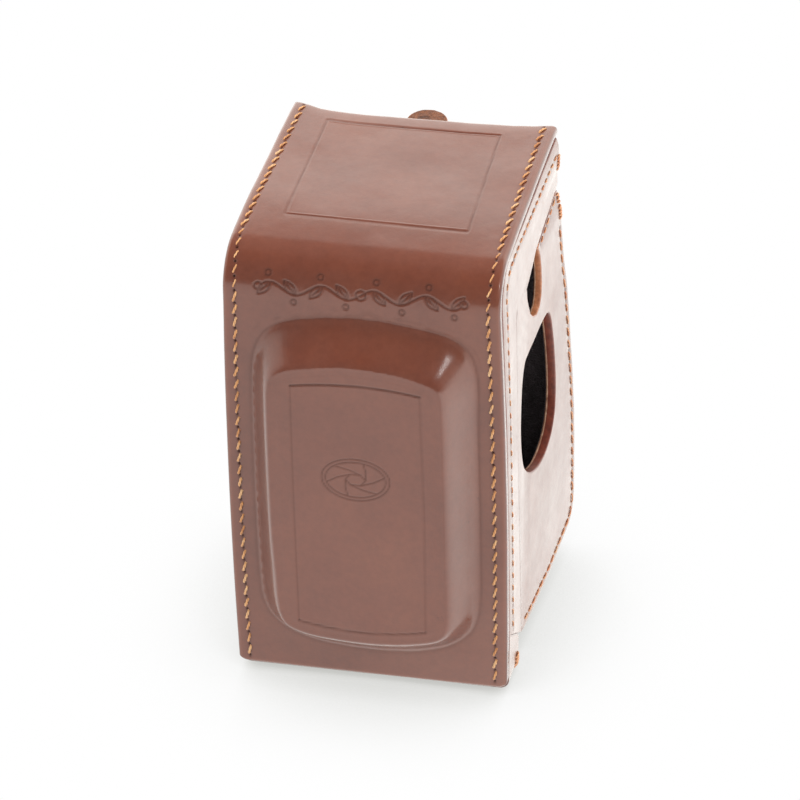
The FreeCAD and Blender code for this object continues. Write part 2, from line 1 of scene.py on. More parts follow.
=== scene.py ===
# A leather camera case: a moulded front-and-top cover with side walls and side flaps, and a rear
# half hinged below it, with a closure tab. Pieces are worked out in mm: front face at y = 0, lower
# edge of the front at z = 0, +y to the rear, +x to the right. to_row() carries them to the CAD's
# frame in metres.
import math
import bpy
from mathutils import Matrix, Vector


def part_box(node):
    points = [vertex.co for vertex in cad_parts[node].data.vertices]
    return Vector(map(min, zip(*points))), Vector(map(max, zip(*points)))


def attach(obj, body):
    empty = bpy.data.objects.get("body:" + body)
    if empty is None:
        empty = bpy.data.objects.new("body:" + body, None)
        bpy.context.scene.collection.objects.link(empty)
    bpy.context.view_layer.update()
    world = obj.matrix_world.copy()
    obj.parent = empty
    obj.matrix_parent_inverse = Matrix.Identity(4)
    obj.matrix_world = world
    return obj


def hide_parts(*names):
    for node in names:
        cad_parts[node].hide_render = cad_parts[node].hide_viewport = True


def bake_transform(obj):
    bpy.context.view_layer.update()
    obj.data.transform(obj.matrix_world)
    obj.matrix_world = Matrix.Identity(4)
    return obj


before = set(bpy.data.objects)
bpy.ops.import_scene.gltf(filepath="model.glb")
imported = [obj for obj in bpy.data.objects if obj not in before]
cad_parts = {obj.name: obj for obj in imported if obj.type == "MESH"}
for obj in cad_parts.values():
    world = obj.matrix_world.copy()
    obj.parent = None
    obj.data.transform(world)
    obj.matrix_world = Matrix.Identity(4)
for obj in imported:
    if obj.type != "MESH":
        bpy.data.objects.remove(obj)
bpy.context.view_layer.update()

from types import SimpleNamespace

import bpy
import numpy as np
from mathutils import Matrix, Vector
from mathutils.geometry import delaunay_2d_cdt


# ---------------------------------------------------------------- driving dimensions, mm
HALF_WIDTH = 45.0
HEIGHT = 159.6
DEPTH = 94.6
TURN_R = 16.0                       # turn from the front into the top
FRONT_T, SIDE_T = 3.4, 2.6          # leather thicknesses
BULGE_H = 11.0                      # lens bulge ahead of the front face
PITCH = 4.75                        # stitch pitch
BOTTOM_Z = -2.4                     # outer face of the sill and the rear half's floor

# lengths along the front-and-top leather: flat front, turn, top
FRONT_FLAT = HEIGHT - TURN_R
TURN_LEN = math.pi * TURN_R / 2
TOP_START = FRONT_FLAT + TURN_LEN
TOP_LEN = DEPTH - TURN_R
LENGTH = TOP_START + TOP_LEN

panel_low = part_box("front_top_panel")[0]
ORIGIN = np.array([0, panel_low.y * 1000 + BULGE_H, panel_low.z * 1000])


def to_row(points):
    return (np.asarray(points, float) + ORIGIN) / 1000.0


# ---------------------------------------------------------------- numeric helpers
def smoothstep(t):
    t = np.clip(t, 0, 1)
    return t * t * (3 - 2 * t)


def bell(offset, width):
    return np.exp(-(offset / width) ** 2)


def lookup(value, table):
    """Linear interpolation in a table of (input, output) rows."""
    return np.interp(value, *np.array(table, float).T)


def round_drop(gap, radius):
    """How far a rounded edge falls at that gap from the border."""
    fall = radius - np.sqrt(np.maximum(radius ** 2 - (radius - gap) ** 2, 0))
    return np.where(gap < radius, fall, 0)


def value_noise(first, second, scale, seed):
    """Smooth 2-D value noise in about -1..1."""
    grid = np.random.default_rng(seed).uniform(-1, 1, (256, 256))
    first, second = np.asarray(first) / scale + 1000.5, np.asarray(second) / scale + 1000.5
    i, j = np.floor(first).astype(int), np.floor(second).astype(int)

    def fade(t):
        return t * t * t * (t * (t * 6 - 15) + 10)

    def blend(row):
        low, high = grid[row % 256, j % 256], grid[row % 256, (j + 1) % 256]
        return low, high

    part_i, part_j = fade(first - i), fade(second - j)
    (low_low, low_high), (high_low, high_high) = blend(i), blend(i + 1)
    return ((low_low * (1 - part_i) + high_low * part_i) * (1 - part_j)
            + (low_high * (1 - part_i) + high_high * part_i) * part_j)


# ---------------------------------------------------------------- flat outlines and lines
# Segments are a pair of arrays: starts and ends.
def loop_segments(loop):
    starts = np.array(loop, float)
    return starts, np.roll(starts, -1, 0)


def line_segments(lines):
    lines = [np.array(line, float) for line in lines]
    return (np.concatenate([line[:-1] for line in lines]),
            np.concatenate([line[1:] for line in lines]))


def distance(points, segments, chunk=4000):
    """Distance from each point to the nearest segment."""
    points = np.asarray(points, float)
    starts, ends = segments
    runs = ends - starts
    squares = np.maximum((runs ** 2).sum(1), 1e-12)
    out = np.empty(len(points))
    for k in range(0, len(points), chunk):
        away = points[k:k + chunk, None, :] - starts[None]
        t = np.clip((away * runs[None]).sum(2) / squares[None], 0, 1)
        out[k:k + chunk] = np.sqrt(((away - t[:, :, None] * runs[None]) ** 2).sum(2).min(1))
    return out


def line_distance(first, second, lines):
    return distance(np.column_stack([first, second]), line_segments(lines))


def inside(points, loop, chunk=6000):
    starts, ends = loop_segments(loop)
    rise = ends[:, 1] - starts[:, 1]
    rise = np.where(np.abs(rise) < 1e-12, 1e-12, rise)
    slope = (ends[:, 0] - starts[:, 0]) / rise
    out = np.zeros(len(points), bool)
    for k in range(0, len(points), chunk):
        x, y = points[k:k + chunk, 0][:, None], points[k:k + chunk, 1][:, None]
        spans = (starts[:, 1][None] > y) != (ends[:, 1][None] > y)
        crossing = starts[:, 0][None] + (y - starts[:, 1][None]) * slope[None]
        out[k:k + chunk] = ((spans & (x < crossing)).sum(1) % 2) == 1
    return out


def signed_distance(points, loop):
    """Distance to a closed outline, positive inside."""
    return distance(points, loop_segments(loop)) * np.where(inside(points, loop), 1, -1)


def resample(loop, step):
    out = []
    for i in range(len(loop)):
        start, end = np.array(loop[i], float), np.array(loop[(i + 1) % len(loop)], float)
        parts = max(1, int(round(np.linalg.norm(end - start) / step)))
        out += [start + (end - start) * k / parts for k in range(parts)]
    return np.array(out)


def loop_normals(loop):
    run = np.roll(loop, -1, 0) - np.roll(loop, 1, 0)
    run /= np.maximum(np.linalg.norm(run, axis=1), 1e-9)[:, None]
    return np.column_stack([-run[:, 1], run[:, 0]])


def shrink(loop, inset):
    """Rough inward offset of a closed outline."""
    loop = resample(loop, 1.0)
    x, y = loop.T
    area = .5 * np.sum(x * np.roll(y, -1) - np.roll(x, -1) * y)
    moved = loop + loop_normals(loop) * inset * (1 if area > 0 else -1)
    return moved[distance(moved, loop_segments(loop)) > abs(inset) * .9]


def smooth_loop(points, parts):
    """Closed Catmull-Rom curve through the points."""
    points = np.array(points, float)
    count = len(points)
    out = []
    for i in range(count):
        before, start = points[i - 1], points[i]
        end, after = points[(i + 1) % count], points[(i + 2) % count]
        for k in range(parts):
            t = k / parts
            out.append(.5 * ((2 * start) + (-before + end) * t
                             + (2 * before - 5 * start + 4 * end - after) * t * t
                             + (-before + 3 * start - 3 * end + after) * t ** 3))
    return np.array(out)


def arc(x, y, radius, start, end, parts):
    """Arc between two angles in degrees."""
    angles = np.radians(np.linspace(start, end, parts + 1))
    return [(x + radius * math.cos(t), y + radius * math.sin(t)) for t in angles]


def ellipse(x, y, radius_x, radius_y, parts=72):
    """Ellipse whose last point repeats the first."""
    angles = np.linspace(0, 2 * math.pi, parts + 1)
    return [(x + radius_x * math.cos(t), y + radius_y * math.sin(t)) for t in angles]


def circle_hole(y, radius, parts=60):
    return ellipse(0, y, radius, radius, parts)[:-1]


def rounded_box(half, low, high, low_r, high_r):
    """Box centred on x = 0, with its own corner radius at the low and at the high end."""
    return (arc(half - high_r, high - high_r, high_r, 0, 90, 6)
            + arc(-half + high_r, high - high_r, high_r, 90, 180, 6)
            + arc(-half + low_r, low + low_r, low_r, 180, 270, 6)
            + arc(half - low_r, low + low_r, low_r, 270, 360, 6))


def mirrored(half):
    return half + [(-x, y) for x, y in reversed(half)]


def stations(path, offset):
    """Places and headings at the stitch pitch: offset .5 gives stitch centres, 0 the holes."""
    points = np.array(path, float)
    runs = np.diff(points, axis=0)
    lengths = np.linalg.norm(runs, axis=1)
    reached = np.concatenate([[0], np.cumsum(lengths)])
    count = max(1, int(round(reached[-1] / PITCH)))
    out = []
    for i in range(count + (1 if offset == 0 else 0)):
        along = (i + offset) * reached[-1] / count
        j = min(len(lengths) - 1, int(np.searchsorted(reached, along, "right") - 1))
        share = (along - reached[j]) / lengths[j]
        out.append((points[j] + runs[j] * share, runs[j] / lengths[j]))
    return out


def hole_places(paths):
    return np.array([spot for path in paths for spot, _ in stations(path, 0)])


def hole_distance(first, second, holes):
    points = np.column_stack([first, second])
    return np.linalg.norm(points[:, None] - holes[None], axis=2).min(1)


# ---------------------------------------------------------------- meshes
def new_mesh(name, points, faces, materials, slots=None, attributes=None):
    """Smooth mesh from mm points. Attributes shorter than the points end in zeros."""
    mesh = bpy.data.meshes.new(name)
    mesh.from_pydata(to_row(points).tolist(), [], faces)
    for material in materials:
        mesh.materials.append(material)
    if slots is not None:
        mesh.polygons.foreach_set("material_index", np.asarray(slots, np.int32))
    mesh.polygons.foreach_set("use_smooth", np.full(len(mesh.polygons), True))
    for key, given in (attributes or {}).items():
        values = np.zeros(len(points), np.float32)
        values[:len(given)] = given
        mesh.attributes.new(key, "FLOAT", "POINT").data.foreach_set("value", values)
    mesh.update()
    obj = bpy.data.objects.new(name, mesh)
    bpy.context.scene.collection.objects.link(obj)
    return obj


def register(obj, body, replaced=()):
    if body:
        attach(obj, body)
    if replaced:
        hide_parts(*replaced)


def bend(obj):
    """Bakes the piece's placement into its points."""
    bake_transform(obj)


def grid_quads(index):
    return np.column_stack([index[:-1, :-1].ravel(), index[:-1, 1:].ravel(),
                            index[1:, 1:].ravel(), index[1:, :-1].ravel()])


def rim_faces(outer, inner, rows, columns):
    """Faces closing the sides between two grids; rows and columns are the outer grid's lines
    that the inner grid has too."""
    faces = []
    for line, inner_line, picks, flip in ((outer[0], inner[0], columns, False),
                                          (outer[-1], inner[-1], columns, True),
                                          (outer[:, 0], inner[:, 0], rows, True),
                                          (outer[:, -1], inner[:, -1], rows, False)):
        for k in range(len(picks) - 1):
            face = line[picks[k]:picks[k + 1] + 1].tolist()
            face += [int(inner_line[k + 1]), int(inner_line[k])]
            faces.append(face if flip else face[::-1])
    return faces


# ---------------------------------------------------------------- material helpers
class Graph:
    """A shader tree with short calls for its nodes. An input takes a value or a socket."""

    def __init__(self, tree, coordinates="Object"):
        self.tree = tree
        self.where = self.node("TexCoord").outputs[coordinates]

    def fill(self, node, inputs):
        for key, value in inputs.items():
            if isinstance(value, bpy.types.NodeSocket):
                self.tree.links.new(value, node.inputs[key])
            else:
                node.inputs[key].default_value = value

    def node(self, kind, inputs=None, **settings):
        node = self.tree.nodes.new("ShaderNode" + kind)
        for key, value in settings.items():
            setattr(node, key, value)
        self.fill(node, inputs or {})
        return node

    def noise(self, scale, detail, roughness=.5, distortion=0.0):
        return self.node("TexNoise", {"Vector": self.where, "Scale": scale, "Detail": detail,
                                      "Roughness": roughness,
                                      "Distortion": distortion}).outputs["Fac"]

    def ramp(self, source, stops):
        """Colour ramp from (position, colour) stops."""
        node = self.node("ValToRGB", {"Fac": source})
        elements = node.color_ramp.elements
        while len(elements) < len(stops):
            elements.new(0.5)
        for element, (position, color) in zip(elements, stops):
            element.position = position
            element.color = color if len(color) == 4 else (*color, 1)
        return node.outputs["Color"]

    def mix(self, factor, first, second, blend="MIX"):
        return self.node("Mix", {0: factor, 6: first, 7: second},
                         data_type="RGBA", blend_type=blend).outputs[2]

    def math(self, operation, first, second=None, clamp=False):
        inputs = {0: first} if second is None else {0: first, 1: second}
        return self.node("Math", inputs, operation=operation, use_clamp=clamp).outputs[0]

    def remap(self, value, source, target):
        return self.node("MapRange", {"Value": value,
                                      "From Min": source[0], "From Max": source[1],
                                      "To Min": target[0], "To Max": target[1]}
                         ).outputs["Result"]

    def bump(self, height, strength, distance, normal=None):
        inputs = {"Strength": strength, "Distance": distance, "Height": height}
        if normal is not None:
            inputs["Normal"] = normal
        return self.node("Bump", inputs).outputs["Normal"]

    def attribute(self, name):
        return self.node("Attribute", attribute_name=name).outputs["Fac"]

    def separate(self, vector):
        return self.node("SeparateXYZ", {0: vector}).outputs


def new_material(name):
    material = bpy.data.materials.new(name)
    material.use_nodes = True
    graph = Graph(material.node_tree)
    return material, graph, material.node_tree.nodes["Principled BSDF"]


def srgb(red, green, blue):
    def linear(c):
        c = c / 255
        return c / 12.92 if c <= .04045 else ((c + .055) / 1.055) ** 2.4
    return linear(red), linear(green), linear(blue), 1


def grey(value):
    return value, value, value


# ---------------------------------------------------------------- materials
def leather(name, coat=.85, shine_shade=None):
    """Polished leather. shine_shade is (start y, end y, share of coat left at the start), y in m:
    less reflection towards the front, standing in for shade.
    """
    material, graph, shader = new_material(name)
    roughness, coat_roughness = .36, .15
    base = srgb(115, 59, 40)

    # broad dye variation, fine mottling, then small dark pores and scuffs
    dye = graph.ramp(graph.noise(scale=26, detail=6, roughness=.62),
                     [(.32, srgb(84, 37, 23)), (.5, base), (.70, srgb(136, 76, 51))])
    color = graph.mix(.30, base, dye)
    mottle = graph.ramp(graph.noise(scale=430, detail=6, roughness=.7),
                        [(.35, (.84, .81, .79)), (.6, (1.05, 1.04, 1.03))])
    color = graph.mix(.5, color, mottle, "MULTIPLY")
    pores = graph.ramp(graph.noise(scale=150, detail=7, roughness=.78),
                       [(.285, (.42, .36, .33)), (.33, (1, 1, 1))])
    color = graph.mix(.8, color, pores, "MULTIPLY")

    # painted shade: darker in awl holes, stitch channels, creases and along the cut edges, and the
    # tooled lines drawn darker; edges rub lighter
    hollow_shade = graph.attribute("painted_hollow_shade")
    color = graph.mix(hollow_shade, color, srgb(30, 11, 7))
    rubbed = graph.math("MULTIPLY", graph.attribute("rub"), .45)
    color = graph.mix(rubbed, color, srgb(146, 84, 56))

    # grain cells with fine noise, over broader creases
    cells = graph.node("TexVoronoi", {"Vector": graph.where, "Scale": 1900, "Randomness": 1},
                       feature="DISTANCE_TO_EDGE").outputs["Distance"]
    cells = graph.ramp(cells, [(0.0, grey(0)), (.22, grey(1))])
    fine = graph.noise(scale=1100, detail=4, roughness=.6)
    grain = graph.math("ADD", graph.math("MULTIPLY", cells, .5), fine)
    creases = graph.noise(scale=130, detail=5, roughness=.6)

    def skin(grain_strength, crease_strength):
        normal = graph.bump(grain, strength=grain_strength, distance=.0004)
        return graph.bump(creases, strength=crease_strength, distance=.0012, normal=normal)

    # duller patches in the polish, and no shine where the hollows get painted shade
    patches = graph.noise(scale=95, detail=8, roughness=.72)
    patch_range = (.3, .75)
    rough = graph.remap(patches, patch_range, (roughness - .05, roughness + .10))
    coat_weight = graph.math("SUBTRACT", coat, graph.math("MULTIPLY", hollow_shade, coat), clamp=True)
    if shine_shade:
        start, end, share = shine_shade
        left = graph.remap(graph.separate(graph.where)["Y"], (start, end), (share, 1.0))
        coat_weight = graph.math("MULTIPLY", coat_weight, left)
    graph.fill(shader, {
        "Base Color": color,
        "Normal": skin(grain_strength=.05, crease_strength=.075),
        "Coat Normal": skin(grain_strength=.035, crease_strength=.06),
        "Roughness": graph.math("ADD", rough, graph.math("MULTIPLY", hollow_shade, .35)),
        "Coat Roughness": graph.remap(patches, patch_range,
                                      (coat_roughness - .03, coat_roughness + .07)),
        "Coat Weight": coat_weight,
        "Coat IOR": 1.52,
        "Specular IOR Level": graph.math("SUBTRACT", .55, graph.math("MULTIPLY", hollow_shade, .45),
                                         clamp=True)})
    return material


def cut_edge(name, color=(120, 52, 36), dark=(78, 30, 20), roughness=.42, coat=.35,
             coat_roughness=.3, bump=.35, pale=None):
    """Cut leather edge. pale gives a disc in the y-z plane (m) that took less dye."""
    material, graph, shader = new_material(name)
    fibres = graph.noise(scale=420, detail=5, roughness=.7)

    def dye(low, middle, high):
        return graph.ramp(fibres, [(.32, srgb(*low)), (.62, srgb(*middle)), (.8, srgb(*high))])

    shade = dye(dark, color, (168, 96, 58))
    if pale:
        place = graph.separate(graph.where)
        squares = []
        for axis, center in zip("YZ", pale["center"]):
            offset = graph.math("SUBTRACT", place[axis], center)
            squares.append(graph.math("MULTIPLY", offset, offset))
        away = graph.math("SQRT", graph.math("ADD", *squares))
        shade = graph.mix(graph.math("LESS_THAN", away, pale["radius"]), shade,
                          dye(pale["dark"], pale["color"], (222, 176, 138)))
    graph.fill(shader, {"Base Color": shade,
                        "Normal": graph.bump(fibres, strength=bump, distance=.0004),
                        "Roughness": roughness,
                        "Coat Weight": coat,
                        "Coat Roughness": coat_roughness})
    return material


def flesh_side(name, dark=(96, 52, 30), color=(150, 92, 58), light=(186, 128, 84)):
    """Flesh side of the hide: short matted fibres."""
    material, graph, shader = new_material(name)
    mats = graph.noise(scale=330, detail=8, roughness=.75, distortion=.6)
    fibres = graph.noise(scale=1600, detail=5, roughness=.7)
    shade = graph.ramp(mats, [(.34, srgb(*dark)), (.52, srgb(*color)), (.7, srgb(*light))])
    speckle = graph.ramp(fibres, [(.35, (.55, .5, .48)), (.65, (1.15, 1.12, 1.1))])
    height = graph.math("ADD", mats, fibres)
    graph.fill(shader, {"Base Color": graph.mix(.5, shade, speckle, "MULTIPLY"),
                        "Normal": graph.bump(height, strength=.7, distance=.0006),
                        "Roughness": .92,
                        "Sheen Weight": .25})
    return material


def plush(name):
    material, graph, shader = new_material(name)
    patches = graph.noise(scale=120, detail=6, roughness=.7)
    pile = graph.noise(scale=1500, detail=3, roughness=.7)
    tufts = graph.noise(scale=620, detail=4, roughness=.7)
    # painted light: the black plush is given greys lighter than black cloth, standing in for light
    # that reaches the inside
    shade = graph.ramp(patches, [(.35, srgb(62, 54, 56)), (.55, srgb(80, 71, 73)),
                                 (.72, srgb(102, 93, 95))])
    speckle = graph.ramp(tufts, [(.3, grey(.55)), (.7, grey(1.25))])
    height = graph.math("ADD", pile, graph.math("MULTIPLY", tufts, .5))
    graph.fill(shader, {"Base Color": graph.mix(.35, shade, speckle, "MULTIPLY"),
                        "Normal": graph.bump(height, strength=.8, distance=.0007),
                        "Roughness": .95,
                        "Sheen Weight": .5,
                        "Sheen Roughness": .5,
                        "Specular IOR Level": .2})
    return material


def thread(name, dark=(202, 134, 78), color=(238, 176, 114), light=(252, 216, 166)):
    material, graph, shader = new_material(name)
    patches = graph.noise(scale=160, detail=4, roughness=.6)
    fibres = graph.noise(scale=2600, detail=3, roughness=.7)
    shade = graph.ramp(patches, [(.3, srgb(*dark)), (.52, srgb(*color)), (.75, srgb(*light))])
    # painted shade between the plies and where the stitch ends dive in
    between = graph.math("MULTIPLY", graph.attribute("ply"), .6)
    shade = graph.mix(between, shade, srgb(120, 60, 30))
    speckle = graph.ramp(fibres, [(.35, (.7, .66, .62)), (.65, (1.15, 1.12, 1.1))])
    graph.fill(shader, {"Base Color": graph.mix(.4, shade, speckle, "MULTIPLY"),
                        "Normal": graph.bump(fibres, strength=.5, distance=.0003),
                        "Roughness": .62,
                        "Sheen Weight": .3,
                        "Specular IOR Level": .45})
    return material


def metal(name, color, roughness):
    """Metal with tarnished, rougher patches."""
    material, graph, shader = new_material(name)
    patches = graph.noise(scale=180, detail=7, roughness=.7)
    fine = graph.noise(scale=2500, detail=3)
    graph.fill(shader, {
        "Base Color": graph.ramp(patches, [(.42, srgb(*color)), (.72, srgb(90, 74, 52))]),
        "Metallic": 1.0,
        "Roughness": graph.remap(patches, (0, 1), (roughness, roughness + .25)),
        "Normal": graph.bump(fine, strength=.12, distance=.0002)})
    return material


LEATHER = leather("case_leather")
# painted shade: the walls take less coat than the front, and less still on their front strip
SIDE_LEATHER = leather("case_leather_side", coat=.79, shine_shade=(-.0425, -.0345, .55))
BURNISHED_EDGE = cut_edge("burnished_edge")
TAN_EDGE = cut_edge("tan_edge", color=(176, 104, 62), dark=(128, 64, 38))
GLOSS_EDGE = cut_edge("polished_edge", color=(112, 54, 38), dark=(84, 36, 24), roughness=.34,
                      coat=.85, coat_roughness=.17, bump=.10)
WALL_EDGE = cut_edge("wall_edge", color=(136, 62, 42), dark=(98, 40, 28), coat=.5,
                     pale=dict(center=(.0045, .1265), radius=.0155,
                               color=(204, 132, 90), dark=(152, 86, 52)))
RAW_EDGE = cut_edge("raw_edge_line", color=(228, 192, 160), dark=(146, 84, 58), roughness=.8)
FLESH = flesh_side("flesh_side")
# painted shade: a darker copy of the flesh side for the closure tab
SHADED_TAB_FLESH = flesh_side("tab_flesh_side", dark=(74, 40, 22), color=(126, 74, 42),
                       light=(166, 104, 60))
PLUSH = plush("black_plush")
THREAD = thread("orange_thread")
# painted light: a brighter copy of the same thread for the wall rows and the tacks, standing in for
# the light these stitches catch
BRIGHTENED_THREAD = thread("orange_thread_painted_bright", dark=(226, 134, 86), color=(255, 186, 134),
                     light=(255, 212, 168))
NICKEL = metal("nickel", color=(196, 190, 180), roughness=.24)
BRASS = metal("brass", color=(196, 158, 92), roughness=.3)
HIDE = (LEATHER, BURNISHED_EDGE, FLESH)         # outer face, cut edge, inner face

# ---------------------------------------------------------------- front and top: lens bulge
# foot of the bulge on the front face: x, z
FOOT = smooth_loop([
    (0, 10.2), (6.2, 10.45), (16.3, 11.6), (26.4, 15.0), (33.2, 20.6), (36.0, 26.7),
    (37.1, 34.8), (37.4, 52), (37.5, 74), (37.6, 97), (37.7, 112), (37.6, 121), (35.9, 128.5),
    (32.0, 133.1), (25.6, 135.9), (12.7, 138.2), (3.0, 138.9), (-8.5, 138.5), (-22.6, 136.1),
    (-29.7, 133.0), (-34.0, 127.6), (-36.4, 119.5), (-37.1, 104), (-37.4, 73), (-37.3, 49),
    (-37.0, 34.8), (-36.0, 26.4), (-33.0, 20.0), (-26.4, 14.6), (-16.3, 11.4), (-6.2, 10.35),
], 4)
# rim of the bulge's flat face: x, z
PLATEAU = smooth_loop([
    (0, 21.1), (9, 21.6), (16, 22.6), (22.3, 24.0), (25.2, 25.4), (26.9, 27.6), (27.5, 31),
    (27.6, 41), (27.6, 80), (27.5, 108), (27.1, 117.4), (25.2, 121.3), (18, 124.2),
    (11.4, 125.5), (1.8, 126.3), (-6.3, 126.1), (-17.8, 124.2), (-23.8, 122.5),
    (-27.4, 119.6), (-28.7, 114), (-29.0, 100), (-29.0, 80), (-28.7, 58), (-28.1, 46),
    (-27.6, 35), (-26.8, 28.8), (-24.6, 24.8), (-17.8, 22.4), (-8, 21.3),
], 4)
# flank: share of the way from foot to rim, share of the height
FLANK = [(0, 0), (.1, .03), (.2, .1), (.3, .21), (.5, .48), (.7, .75), (.8, .87), (.88, .945),
         (.95, .985), (1, 1)]


def bulge(x, z):
    """Height of the bulge, and the distance to its foot (positive inside)."""
    near = (np.abs(x) < 43) & (z > 4) & (z < 146)
    height, foot = np.zeros(len(x)), np.full(len(x), -9.0)
    points = np.column_stack([x, z])[near]
    from_foot = signed_distance(points, FOOT)
    to_rim = -signed_distance(points, PLATEAU)
    share = from_foot / np.maximum(from_foot + to_rim, 1e-6)
    share = np.where(to_rim <= 0, 1.0, np.where(from_foot <= 0, 0.0, share))
    rise = lookup(share, FLANK)
    # soften the table, so that the flank has no hard facets
    for width in (.025, .045):
        rise = (rise + lookup(np.clip(share - width, 0, 1), FLANK)
                + lookup(np.clip(share + width, 0, 1), FLANK)) / 3
    rise = np.where(share <= 0, 0, np.where(to_rim <= -2.5, 1, rise))
    crown = .21 * np.clip(-to_rim / 28.0, 0, 1) ** .8
    height[near] = BULGE_H * rise + crown - .15 * (share >= 1)
    foot[near] = from_foot
    return height, foot


# ---------------------------------------------------------------- front and top: tooled lines
def groove(first, second, lines, width, depth, lip):
    """A rounded groove with raised lips: its relief, and how deep in the groove each point is."""
    away = line_distance(first, second, lines)
    relief = -depth * np.exp(-(away / width) ** 2 * 1.6)
    relief += lip * bell(away - width * 1.9, width * .8)
    return relief, np.exp(-(away / width) ** 2 * 1.4)


def parabola(*points):
    """Parabola through three (x, z) points."""
    x, z = np.array(points, float).T
    curve = np.polyfit(x, z, 2)
    return [(a, np.polyval(curve, a)) for a in x[0] + (x[2] - x[0]) * np.linspace(0, 1, 24)]


# frame on the plateau: x, z
FRAME_TOP = parabola((-21.3, 118.3), (0, 120.4), (21.0, 118.7))
FRAME_BOTTOM = parabola((-21.3, 26.9), (0, 24.6), (21.0, 27.3))
FRAME_SIDES = [[(-21.3, 26.9), (-21.6, 72), (-21.3, 118.3)],
               [(21.0, 27.3), (21.4, 72), (21.0, 118.7)]]
# rectangle on the top: x, y
TOP_FRAME = [(-30.1, 25.4), (29.8, 25.2), (27.8, 85.9), (-30.0, 86.5), (-30.1, 25.4)]


def medallion_lines(x=-.8, z=84.6):
    """An oval double ring around a six-bladed iris."""
    def point(radius_x, radius_z, degrees):
        angle = math.radians(degrees)
        return x + radius_x * math.cos(angle), z + radius_z * math.sin(angle)

    lines = [ellipse(x, z, 11.2, 7.9), ellipse(x, z, 9.9, 6.7)]
    for k in range(6):
        angle = math.radians(60 * k)
        hub = point(3.3, 2.35, 60 * k)
        tip = point(9.7, 6.55, 60 * k + 74)
        middle = ((hub[0] + tip[0]) / 2 + .5 * math.cos(angle),
                  (hub[1] + tip[1]) / 2 + .4 * math.sin(angle))
        lines += [[hub, middle, tip], [hub, point(3.3, 2.35, 60 * (k + 1))]]
    return lines


def leaf(x, z, angle, length=5.8, width=1.6):
    """Both outlines and the vein of a leaf."""
    cosine, sine = math.cos(angle), math.sin(angle)

    def turned(along, off):
        return [(x + a * cosine - b * sine, z + a * sine + b * cosine)
                for a, b in zip(along, off)]

    t = np.linspace(0, 1, 12)
    bow = width * np.sin(math.pi * t) ** .8 * (1 - .35 * t)
    vein = np.linspace(.8, length * .8, 5)
    return [turned(length * t, bow), turned(length * t, -bow), turned(vein, 0 * vein)]


def border_lines():
    """Running leaf border above the bulge: waved stem, leaves and berries."""
    middle, swing, wave = 147.4, 1.9, 17.0

    def stem_z(x):
        return middle + swing * math.sin(2 * math.pi * x / wave)

    lines = [[(x, stem_z(x)) for x in np.linspace(-31.5, 31.5, 160)]]
    for k in range(-4, 4):
        x = (k + .5) * wave / 2
        z = stem_z(x)
        up = 1 if k % 2 == 0 else -1
        out = 1 if x >= 0 else -1
        tilt = up * math.radians(48)
        lines += leaf(x, z - up * .2, -tilt if out > 0 else math.pi + tilt)
        lines.append(ellipse(x + out * .6, z + up * 2.7, .95, .95, 18))
    lines.append(ellipse(0, middle, 1.6, 1.6, 24))
    lines += [ellipse(sign * 33.4, middle + .2, 1.2, 1.2, 18) for sign in (-1, 1)]
    return lines


# lines, groove half width, depth, lip, darkening, and the region worked:
# |x| from and to, length along the front from and to
TOOLING = [
    ([FRAME_TOP], .42, .30, .06, .55, (0, 26, 112, 126)),
    ([FRAME_BOTTOM], .42, .26, .06, .40, (0, 26, 20, 32)),
    (FRAME_SIDES, .40, .12, .03, .18, (18, 25, 22, 124)),
    (medallion_lines(), .30, .22, .07, .38, (0, 16, 73.6, 95.6)),
    (border_lines(), .36, .30, .10, .42, (0, 37, 138, 156)),
]

# ---------------------------------------------------------------- front and top: the surface
# rear edge of the top: x, y
REAR_LINE = [(-45.5, 96.3), (-43.3, 96.7), (-41.6, 96.3), (-39.0, 95.3), (-35, 93.5),
             (-30.8, 92.7), (-25, 92.2), (-19, 92.0), (-12, 92.15), (-4.6, 92.3), (8.7, 92.7),
             (16.4, 92.8), (24.6, 93.3), (31.3, 93.6), (37.9, 94.5), (41.0, 95.4),
             (43.2, 95.8), (45.5, 95.3)]
SAG, ROLL = .45, .30                # how far the rear edge hangs in the middle and curls down
REAR_REACH = 1.66                   # extra y of the rear edge per mm of sag and roll
CORNER_R = 3.2                      # lower corners of the front
# the last of the turn, EASE_ANGLE radians, is spread over the first EASE_LEN of the top
EASE_ANGLE, EASE_LEN = .095, 26.0
EASED_R = (TURN_R - EASE_ANGLE * EASE_LEN / 2) / math.cos(EASE_ANGLE)
EASED_ARC = EASED_R * (math.pi / 2 - EASE_ANGLE)

# the side profile, followed from the lower edge of the front to the rear edge of the top
TRACK = np.linspace(0, LENGTH, 6001)
TRACK_ANGLE = (np.clip((TRACK - FRONT_FLAT) / EASED_R, 0, math.pi / 2 - EASE_ANGLE)
               + EASE_ANGLE * np.clip((TRACK - FRONT_FLAT - EASED_ARC) / EASE_LEN, 0, 1))


def track_sum(slope):
    return np.concatenate([[0], np.cumsum((slope[1:] + slope[:-1]) / 2 * np.diff(TRACK))])


TRACK_Y = track_sum(np.sin(TRACK_ANGLE))
TRACK_Z = track_sum(np.cos(TRACK_ANGLE))
TRACK_Z = TRACK_Z + (HEIGHT - TRACK_Z[-1]) * np.clip((TRACK - FRONT_FLAT) / EASED_ARC, 0, 1)


def half_width(z):
    """Half width of the front at height z: a little wider at mid height."""
    return (HALF_WIDTH + .2 * (1 - z / FRONT_FLAT)
            + 1.05 * np.sin(math.pi * np.clip(z / 150.0, 0, 1)))


def seam_x(s):
    """Distance of the stitch seam from the centre line."""
    return (41.8 - .75 * (1 - smoothstep((s - FRONT_FLAT) / TURN_LEN))
            - .9 * np.clip((s - TOP_START) / TOP_LEN, 0, 1))


